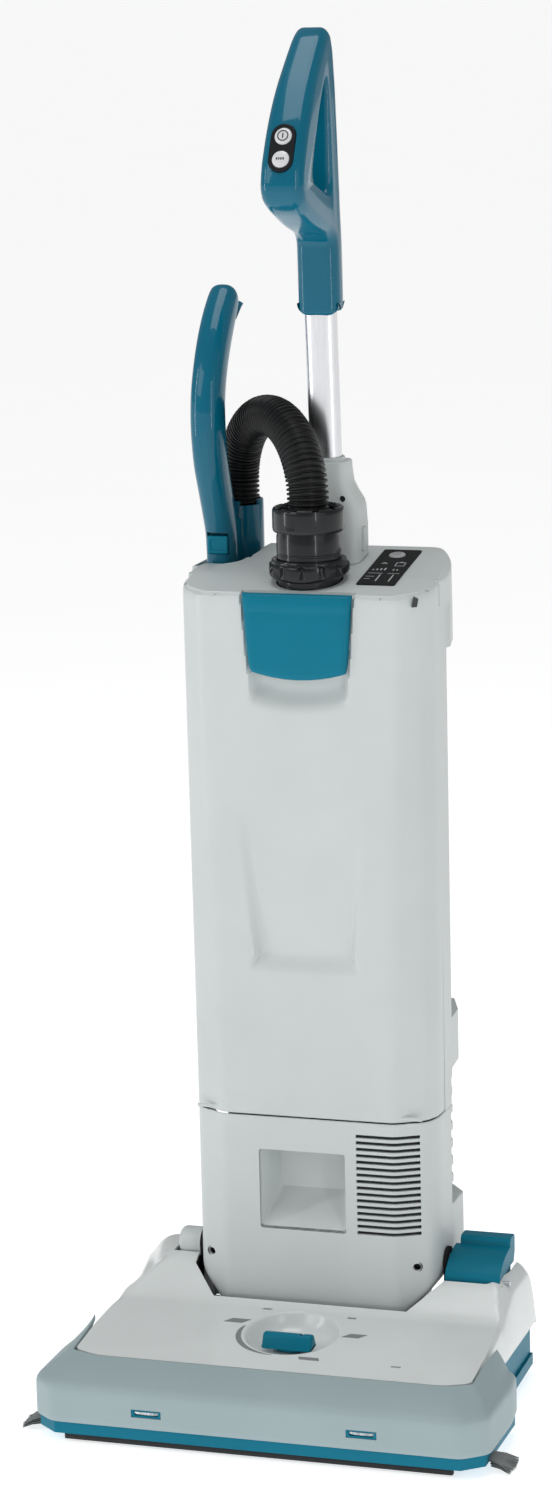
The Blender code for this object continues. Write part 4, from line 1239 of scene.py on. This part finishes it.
collar_profile = [(24.6, 725.0), (24.6, 732.6), (25.0, 735.0), (25.9, 736.0), (27.2, 736.0),
                  (28.4, 735.2), (29.1, 733.6), (29.2, 731.0), (29.2, 719.4), (28.9, 717.4),
                  (28.0, 716.2), (26.7, 716.2), (26.7, 725.0)]
collar = notched("inlet_collar", collar_profile, (*CUFF, 0), 144, ring_cut, BLACK)
carve(collar, [block("cut_slot", (-11, 3.6, 719.8), (-3.5, 6.8, 722.2))])
smooth(collar, 40)
finish_piece(collar, "upright", "cuff_ring", slot="black_plastic")

# ============================ handle bracket and tube ============================
bracket_keys = [(670, 29.5, 72.6, 111), (692, 30.2, 71.6, 110.5), (712, 30.4, 71, 110),
                (728, 29.7, 71, 108.6), (733, 28.6, 71, 108), (741, 23.8, 70.6, 106.4),
                (748, 20.8, 70.2, 104.8), (757, 19.7, 70.2, 103.6),
                (764.4, 19.3, 70.8, 103), (765.6, 18.9, 71.2, 102.6), (766, 18.2, 71.8, 102)]
rings = []
for z, half, front, back in bracket_keys:
    rings.append([(a, (front + back) / 2 + b, z) for a, b in oval(half, (back - front) / 2, 72, 5.5)])
bracket = loft("tube_bracket", rings, GREY)
carve(bracket, [
    prism("cut_seat", [(40, 600), (40, top_z(40) + 0.4), (114, top_z(114) + 0.4), (122, top_z(118) + 0.4),
                       (140, 600)],
          "x", -60, 60),
    block("cut_tab", (23.6, 84, 692), (40, 91, 712)),
    plug(2.6, 8, -8, (17.5, 71.4, 736.5), ALONG_Y, 24),
])


def tube_at(z):
    return Vector((0.0, 80.7 - (z - 884.5) * math.tan(TUBE_LEAN), z))


lean = Vector((0, -math.sin(TUBE_LEAN), math.cos(TUBE_LEAN)))
carve(bracket, [sweep("cut_tube", [(tube_at(z), lean, 13.7, 9.5) for z in (600, 800)], None, 40)])
smooth(bracket, 34)
finish_piece(bracket, "upright", "handle_bracket", slot="shell_grey")
screw = lathe("bracket_screw", [(0, 0.4), (1.0, 0.4), (1.1, -0.3), (2.1, 0), (2.4, -0.6), (2.4, -4),
                                (0, -4)],
              (17.5, 73.2, 736.5), (0, -1, 0), 20, INK_DARK)
finish_piece(smooth(screw), "upright")
lip = sweep("bracket_lip", [(tube_at(766.2), lean, 15.6, 11.4), (tube_at(768.6), lean, 15.4, 11.2),
                            (tube_at(769.2), lean, 14.9, 10.7), (tube_at(769.3), lean, 13.8, 9.6)], GREY, 48)
carve(lip, [sweep("cut_tube", [(tube_at(z), lean, 13.7, 9.5) for z in (700, 800)], None, 40)])
finish_piece(smooth(lip, 40), "upright")

tube_stations = [(tube_at(z), lean, 13.2, 9.0) for z in (560, 640, 720, 800, 880, 960)]
tube = sweep("telescopic_tube", tube_stations, ALUMINIUM, 56, 2.5)
finish_piece(smooth(tube, 50), "handle", "handle_tube", slot="aluminium")

# ============================ main handle ============================
outer_loop = [(-25, 992), (-21.5, 1011), (-8, 1037), (16, 1070), (45, 1096), (60, 1108.5), (72, 1114.4),
              (81, 1110), (85.7, 1096), (86, 1075), (86, 1010), (88, 972), (92.5, 950), (93.4, 920),
              (93.5, 889),
              (91.6, 886.4), (71.6, 884.9), (69.4, 887.4), (67.6, 944), (58, 950.5), (31, 958),
              (-5, 972), (-19, 980)]
loop_radius = [9, 14, 30, 30, 20, 12, 12, 12, 14, 20, 30, 30, 20, 20, 1.2, 1.2, 1.2, 1.2, 12, 16, 40, 12, 9]
loop = rounded(outer_loop, loop_radius, 5)
opening = rounded([(10, 999), (20, 1022), (36, 1050), (52, 1071), (60, 1076), (62.5, 1066), (62.5, 991),
                   (57, 983)],
                  [7, 20, 20, 10, 4, 6, 6, 4], 5)


def hand_half(y, z):
    """The handle narrows towards its top."""
    return float(np.interp(z, [880, 950, 985, 1050, 1115], [1.0, 1.0, 1.03, 0.97, 0.80]))


handle = pillow("main_grip", loop, "x", -17.5, 17.5, 9.5, TEAL, 7, hand_half)
open_ways = normals_of(opening)
rings = []
for x, grow in ((-30, 5.0), (-17.6, 5.0), (-16.4, 2.6), (-14.2, 0.9), (-11.5, 0.0), (11.5, 0.0),
                (14.2, 0.9), (16.4, 2.6),
                (17.6, 5.0), (30, 5.0)):
    rings.append([(x, p[0] + w.x * grow, p[1] + w.y * grow) for p, w in zip(opening, open_ways)])
keypad_mid = Vector((0, -14.5, 1024))
face_way = Vector((0, -26, 13)).normalized()
face_up = Vector((0, 13, 26)).normalized()


def on_face(name, outline, low, high, material=None):
    rows = []
    for lift in (low, high):
        rows.append([tuple(keypad_mid + Vector((a, 0, 0)) + face_up * b + face_way * lift)
                     for a, b in outline])
    return loft(name, rows, material)


def pill(half_width, half_height, steps=14):
    straight = half_height - half_width
    return arc((0, straight), half_width, 0, 180, steps) + arc((0, -straight), half_width, 180, 360, steps)


carve(handle, [loft("cut_opening", rings), on_face("cut_keypad", pill(10.4, 20.4), -3, 12),
               sweep("cut_socket", [(tube_at(z), lean, 13.6, 9.4) for z in (860, 960.6)], None, 40)])
smooth(handle, 42)
finish_piece(handle, "handle", "main_handle", slot="teal_gloss")

pad = on_face("keypad_plate", pill(10, 20), -2.6, 0.7, BLACK)
for rise in (9.6, -9.6):
    spot = tuple(keypad_mid + face_up * rise)
    carve(pad, [plug(7.3, 2, -1.9, spot, tuple(face_way), 40)])
soften(pad, 0.3, 2)
finish_piece(pad, "handle", "keypad", slot="black_plastic")
CAP = [(0, 2.0), (3.6, 1.98), (5.6, 1.75), (6.6, 1.25), (7.0, 0.6), (7.0, -0.7), (0, -0.7)]
for name, node, body, rise in (("power_key_cap", "power_button", "power_key", 9.6),
                               ("boost_key_cap", "boost_button", "boost_key", -9.6)):
    spot = tuple(keypad_mid + face_up * rise)
    cap = lathe("cap", CAP, spot, tuple(face_way), 48, KEY_WHITE)
    parts = [smooth(cap, 35)]
    if rise > 0:
        ring_side = [(3.7, 2.2), (4.5, 2.2), (4.5, 1.7), (3.7, 1.7)]
        parts.append(lathe("mark", ring_side, spot, tuple(face_way), 40, INK_DARK))
        parts.append(on_face("stem", rect(-0.45, rise - 2, 0.45, rise + 2), 1.9, 2.2, INK_DARK))
    else:
        parts += [on_face("bar", rect(x, rise - 0.9, x + 1.1, rise + 0.9), 1.7, 2.15, INK_DARK)
                  for x in (-3.4, -1.6, 0.2, 2.0)]
    finish_piece(merge(name, parts), body, node, slot="button_white")

# ============================ wand ============================
wand_keys = [(101, 640, 12.3, 12.6), (101, 668, 12.8, 13.4), (100.6, 688, 13.0, 13.8),
             (99, 704, 13.0, 14.2), (92.5, 722, 13, 15), (84, 742, 13.1, 15.2), (76, 762, 13.4, 15.5),
             (71.6, 782, 13.5, 15.6), (70.4, 800, 13.5, 15.6), (72.6, 820, 13.3, 15.8),
             (80, 840, 13.1, 16), (90, 858, 13, 16), (102, 874, 12.8, 15.6),
             (113, 886, 12.4, 14.6), (119.6, 892.6, 11.9, 13.6), (123.4, 896.2, 10.8, 12.2),
             (125.6, 898.4, 8.4, 9.4), (126.6, 899.4, 4.5, 5.0)]
samples = spline(wand_keys, 76)
stations = []
for i, s in enumerate(samples):
    a, b = samples[max(i - 1, 0)], samples[min(i + 1, len(samples) - 1)]
    stations.append(((WAND_X, s[0], s[1]), (0, b[0] - a[0], b[1] - a[1]), s[2], s[3]))
wand = sweep("wand_grip", stations, TEAL, 48, 2.5)
tip = loft("tip", [[(WAND_X + a, 118 + b * 0.5, 878 + b * 0.4) for a, b in oval(11.5, 9, 28, 3)],
                   [(WAND_X + a, 134 + b * 0.5, 886.0 + b * 0.5) for a, b in oval(10.8, 8.5, 28, 3)],
                   [(WAND_X + a, 143.5 + b * 0.35, 886.5 + b * 0.35) for a, b in oval(9.0, 5, 28, 3)]], TEAL)
socket = lathe("socket", [(0, 726.5), (18.6, 726.5), (19.6, 726.0), (20.0, 725.0), (20.0, 604),
                          (19.0, 600.5), (0, 600.5)],
               (*SOCKET, 0), ALONG_Z, 64, TEAL)
web = pillow("web", rounded([(-105, 96), (-83, 96), (-81, 122), (-107, 122)], 3, 3), "z", 602, 713, 2.0,
             TEAL, 3)
carve(wand, [tip, socket, web], "UNION")
carve(wand, [plug(17.6, 40, -30, (*SOCKET, 720)),
             block("cut_key", (WAND_X - 9.2, 78, 685.6), (WAND_X + 9.2, 93.0, 704.2)),
             block("cut_notch", (SOCKET[0] + 6, 100, 722.6), (SOCKET[0] + 30, 124, 730))])
smooth(wand, 38)
finish_piece(wand, "hand_wand", "wand", slot="teal_gloss")
key = pillow("wand_key_cap", rounded(rect(WAND_X - 8.6, 686.2, WAND_X + 8.6, 701.2), 1.6, 4), "y", 86.0,
             89.9, 0.9, TEAL_SATIN, 4)
carve(key, [prism("cut_step", rect(85, 689, 86.5, 698), "x", WAND_X - 6, WAND_X + 6)])
finish_piece(smooth(key, 40), "wand_key", "wand_button", slot="teal_matte")

# ============================ floor head details ============================
pedal_side = [(19, 92), (19, 99.6), (22.6, 104.6), (30, 109.4), (38, 112.6), (47, 114.8), (57, 115.8),
              (57, 92.5),
              (28, 91.4)]
pedal = prism("pedal_plate", pedal_side, "x", 108.0, 154.6, TEAL_SATIN)
bar_side = [(55.4, 108), (56.2, 119.6), (58.8, 122.8), (70.4, 122.8), (72, 120.6), (71.8, 108),
            (68, 99.5), (56, 99.5)]
carve(pedal, [prism("pedal_bar", bar_side, "x", 112.0, 154.6)], "UNION")
soften(pedal, 1.3, 3, 24)
finish_piece(pedal, "pedal", "foot_pedal", slot="teal_matte")

disc_side = [(0, 4.4), (13.2, 4.4), (14.6, 3.8), (15, 2.8), (15, 0.2), (4.9, 0), (4.9, -9), (0, -9)]
disc = lathe("disc", disc_side, (*DIAL, 57.3), ALONG_Z, 64, TEAL_SATIN)
grip_side = rounded([(-78.6, 60.4), (-74.4, 70.4), (-71.6, 72.6), (-66, 71.8), (-61.6, 62.6), (-61.6, 60.4)],
                    [1, 2.4, 2.4, 2.4, 2, 0.5], 4)
grip = pillow("grip", grip_side, "x", -21, 21, 2.2, TEAL_SATIN, 4)
carve(disc, [grip], "UNION")
carve(disc, [block("cut_notch", (10.5, -72.6, 70.6), (13.4, -64, 76))])
smooth(disc, 40)
disc.name = "height_dial"
finish_piece(disc, "knob", "height_knob", slot="teal_matte")

boss_side = [(0, 10.2), (7.4, 10.2), (9.6, 9.4), (11.2, 7.8), (12, 5.4), (12, -9.6), (6.3, -9.6), (6.3, -2),
             (0, -2)]
cap = lathe("pivot_boss", boss_side, (-117.2, *PIVOT), (-1, 0, 0), 64, GREY)
finish_piece(smooth(cap, 30), "head", "pivot_cap_left", slot="shell_grey")


# grey marks round the height dial: a darker crescent along the dish's left and front rim, and printed flat
# marks
def deck_patch(name, outline, lift=0.18, material=INK):
    points = [(x, y, deck_z(y) + lift) for x, y in outline]
    low = [(x, y, deck_z(y) - 0.6) for x, y in outline]
    return loft(name, [low, points], material)


crescent = []
for i in range(33):
    a = math.radians(172 + 92 * i / 32)
    crescent.append((41.8 * math.cos(a), DIAL[1] + 41.8 * math.sin(a)))
for i in range(33):
    a = math.radians(264 - 92 * i / 32)
    wide = 41.9 + 6.2 * math.sin(math.pi * i / 32) ** 0.6 * (0.35 + 0.65 * i / 32)
    crescent.append((wide * math.cos(a), DIAL[1] + wide * math.sin(a)))
patches = [deck_patch("p", crescent)]
# (x, y, half width, half depth, skew) of the flat marks
for x, y, a, b, skew in ((-51, -47, 8, 3.6, -3), (52, -57, 7, 3.4, -3), (27, -103, 8.5, 2.4, 1),
                         (-33, -22, 3.6, 1.1, -1), (41, -26, 3.6, 1.1, 0), (100, -104, 4, 0.9, 0)):
    near, far = y - b, y + b
    patches.append(deck_patch("p", [(x - a + skew, near), (x + a + skew, near), (x + a - skew, far),
                                    (x - a - skew, far)]))
finish_piece(merge("dial_marks", patches), "head")


def tuft(side):
    """Side bristles: thin tapered strands fanned out from the head's corner."""
    strands = []
    for row in range(4):
        for k in range(30):
            share = (k + 0.5 * (row % 2)) / 30
            sway = math.sin(k * 12.9898 + row * 78.233) * 0.5
            root = Vector((side * (186.6 + 0.5 * row), -145.4 + 16.8 * share, 11.6 - 2.0 * row))
            end = Vector((side * (203.6 + 1.6 * math.sin(math.pi * share) + 0.7 * sway),
                          -149.4 + 32.6 * share + 0.6 * sway,
                          1.4 + 1.2 * (3 - row) * (0.7 + 0.3 * sway)))
            middle = (root + end) / 2 + Vector((0, 0, 2.2))
            rings = []
            for t, wide in ((0, 0.75), (0.5, 0.62), (1, 0.28)):
                p = root * (1 - t) ** 2 + middle * (2 * t * (1 - t)) + end * t * t
                rings.append([(p.x, p.y + wide * a, p.z + 0.6 * wide * b)
                              for a, b in ((-1, 0), (0, -1), (1, 0), (0, 1))])
            strands.append(rings)
    points, faces = [], []
    for rings in strands:
        base = len(points)
        points += [p for ring in rings for p in ring]
        for k in range(2):
            for i in range(4):
                j = (i + 1) % 4
                faces.append((base + k * 4 + i, base + k * 4 + j, base + k * 4 + 4 + j,
                              base + k * 4 + 4 + i))
        faces.append((base, base + 1, base + 2, base + 3))
        faces.append((base + 8, base + 9, base + 10, base + 11))
    return points, faces


BRISTLE = plastic("nylon_bristle", (0.21, 0.225, 0.225), 0.6, grain=900, grain_strength=0.2, mottle=0.25)
for side, name in SIDES:
    points, faces = tuft(side)
    finish_piece(mesh_object(f"bristle_fan_{name}", points, faces, BRISTLE), "head",
                 f"side_bristles_{name}", slot="bristle")

strip = pillow("felt_skirt", rounded(rect(-162, -163.8, 162, -158.2), 1.5, 3), "z", 2.0, 7.7, 0.8,
               FELT, 3)
finish_piece(smooth(strip, 40), "head", "felt_strip", slot="rubber")
for side, name in SIDES:
    low, high = sorted((side * 138, side * 158))
    foot = pillow(f"glide_foot_{name}", rounded(rect(low, -156.4, high, -147), 2.5, 4), "z", 0.0,
                  7.6, 1.4, BLACK_MATTE, 4)
    finish_piece(smooth(foot, 40), "head", f"glide_{name}", slot="black_plastic")
    tyre_side = [(4.2, 10.4), (11.6, 10.6), (13.4, 9.4), (14.6, 7.6), (28.4, 7.6), (30.0, 9.2),
                 (31.6, 11), (34.2, 11), (35.4, 10.4),
             (36, 9.2), (36, 4.2), (35.2, 3.6), (35.2, 2.2), (36, 1.6), (36, -1.6), (35.2, -2.2),
             (35.2, -3.6), (36, -4.2), (36, -9.2), (35.4, -10.4), (34.2, -11), (31.6, -11),
             (30.0, -9.2), (28.4, -7.6), (14.6, -7.6), (13.4, -9.4),
             (11.6, -10.6), (4.2, -10.4)]
    wheel = lathe(f"wheel_tyre_{name}", tyre_side, (side * WHEEL_PLACE[0], *WHEEL_PLACE[1:]), ALONG_X, 72,
                  RUBBER)
    finish_piece(smooth(wheel, 35), f"wheel_{name}", f"rear_wheel_{name}", slot="rubber")

# brush roll: a core with two helical rows of tufts
core_side = [(0, 155), (4.8, 155), (5, 154.6), (5, 147.5), (17.4, 147.5), (19, 146.4), (19, -145),
             (18, -146),
                            (8, -146), (8, -150), (12, -150), (12, -158), (0, -158)]
core = lathe("brush_core", core_side, BRUSH_AXIS, ALONG_X, 48, BLACK)
smooth(core, 35)
points, faces = [], []
for row in range(2):
    for k in range(70):
        x = -142 + 284 * k / 69
        turn = math.pi * row + 2.2 * abs(x) / 143
        for s in range(7):
            a = turn + 0.05 * math.sin(s * 2.4 + k)
            dx = 1.5 * math.cos(s * 0.9)
            base = len(points)
            for r, wide in ((16, 0.6), (23.8 + 0.15 * math.sin(s * 5 + k), 0.35)):
                for u, v in ((-1, -1), (1, -1), (1, 1), (-1, 1)):
                    lean_by = a + 0.012 * v * wide * 3
                    points.append((x + dx + u * wide,
                                   BRUSH_AXIS[1] + r * math.cos(lean_by) + 0.2 * v * wide,
                                   BRUSH_AXIS[2] + r * math.sin(lean_by)))
            faces += [(base + i, base + (i + 1) % 4, base + 4 + (i + 1) % 4, base + 4 + i) for i in range(4)]
            faces += [(base, base + 1, base + 2, base + 3), (base + 4, base + 5, base + 6, base + 7)]
tufts = mesh_object("tufts", points, faces, BRISTLE)
finish_piece(merge("brush_core", [core, tufts]), "brush", "brush_roll", slot="rubber")

# ============================ dust bag ============================
def build_bag():
    keys = [(259, 60, 16, 53), (262, 66, 13, 56), (270, 76, 10.5, 59.5), (284, 81, 9, 61),
            (330, 84.5, 7.5, 61.5), (400, 87, 6.6, 62), (460, 87, 6.4, 62), (520, 85, 11, 61.6),
            (548, 84.5, 15.2, 61.4),
            (590, 81, 16.5, 60.8), (612, 74, 17.2, 58.5), (624, 63, 18, 55), (631.5, 50, 19, 51)]
    count = 96
    rings = []
    for z, half, front, back in spline(keys, 110):
        ring = []
        for i, (a, b) in enumerate(oval(half, (back - front) / 2, count, 3.0)):
            angle = 2 * math.pi * i / count
            ripple = (0.5 * math.sin(angle * 9 + z * 0.05) + 0.35 * math.sin(angle * 17 - z * 0.11 + 1.3)
                      + 0.45 * math.sin(z * 0.21 + 2.0 * math.sin(angle * 3)))
            seam = 1.1 * math.exp(-((abs(a) - half) / 3.0) ** 2)
            inward = 1.0 - (0.55 - 0.5 * ripple) * 1.2 / max(half, 30)
            ring.append((a * inward + math.copysign(seam, a) * 0.6,
                         (front + back) / 2 + b * (1 - 0.035 + 0.03 * ripple), z))
        rings.append(ring)
    return loft("fleece_bag", rings, FLEECE)


bag = smooth(build_bag(), 70)
finish_piece(bag, "upright", "dust_bag", slot="bag_cloth")

# ============================ carried-over parts ============================
repaint(STEEL, "brush_motor", "motor_pulley", "rear_axle", "pedal_pin", "pivot_shaft", "suction_motor")
repaint(BLACK_MATTE, "brush_bearing_left", "brush_bearing_right", "battery_left", "battery_right",
        "pivot_bracket_left", "pivot_bracket_right")
repaint(GREY, "door_hinge_pin")
repaint(RUBBER, "drive_belt")
repaint(CARD, "bag_collar")
repaint(FILTER, "premotor_filter", "exhaust_filter")
repaint(BOARD, "controller_board")

# ============================ floor ============================
floor_mat, tree, shader = new_material("pale_floor", (0.86, 0.865, 0.87), 0.75)
place = coords(tree, (1, 1, 1))
cloud = noise(tree, place, 2.2, 2.0, 0.5)
tint = ramp(tree, cloud, "Fac", [(0.3, (0.85, 0.855, 0.86)), (0.7, (0.87, 0.875, 0.88))])
wire(tree, tint, "Color", shader, "Base Color")
shader.inputs["Emission Color"].default_value = (1, 1, 1, 1)
shader.inputs["Emission Strength"].default_value = 0.68
FLOOR_REACH = range(-60000, 60001, 10000)
floor = grid("pale_ground", [[(float(x), float(y), -0.3) for x in FLOOR_REACH] for y in FLOOR_REACH],
             floor_mat)
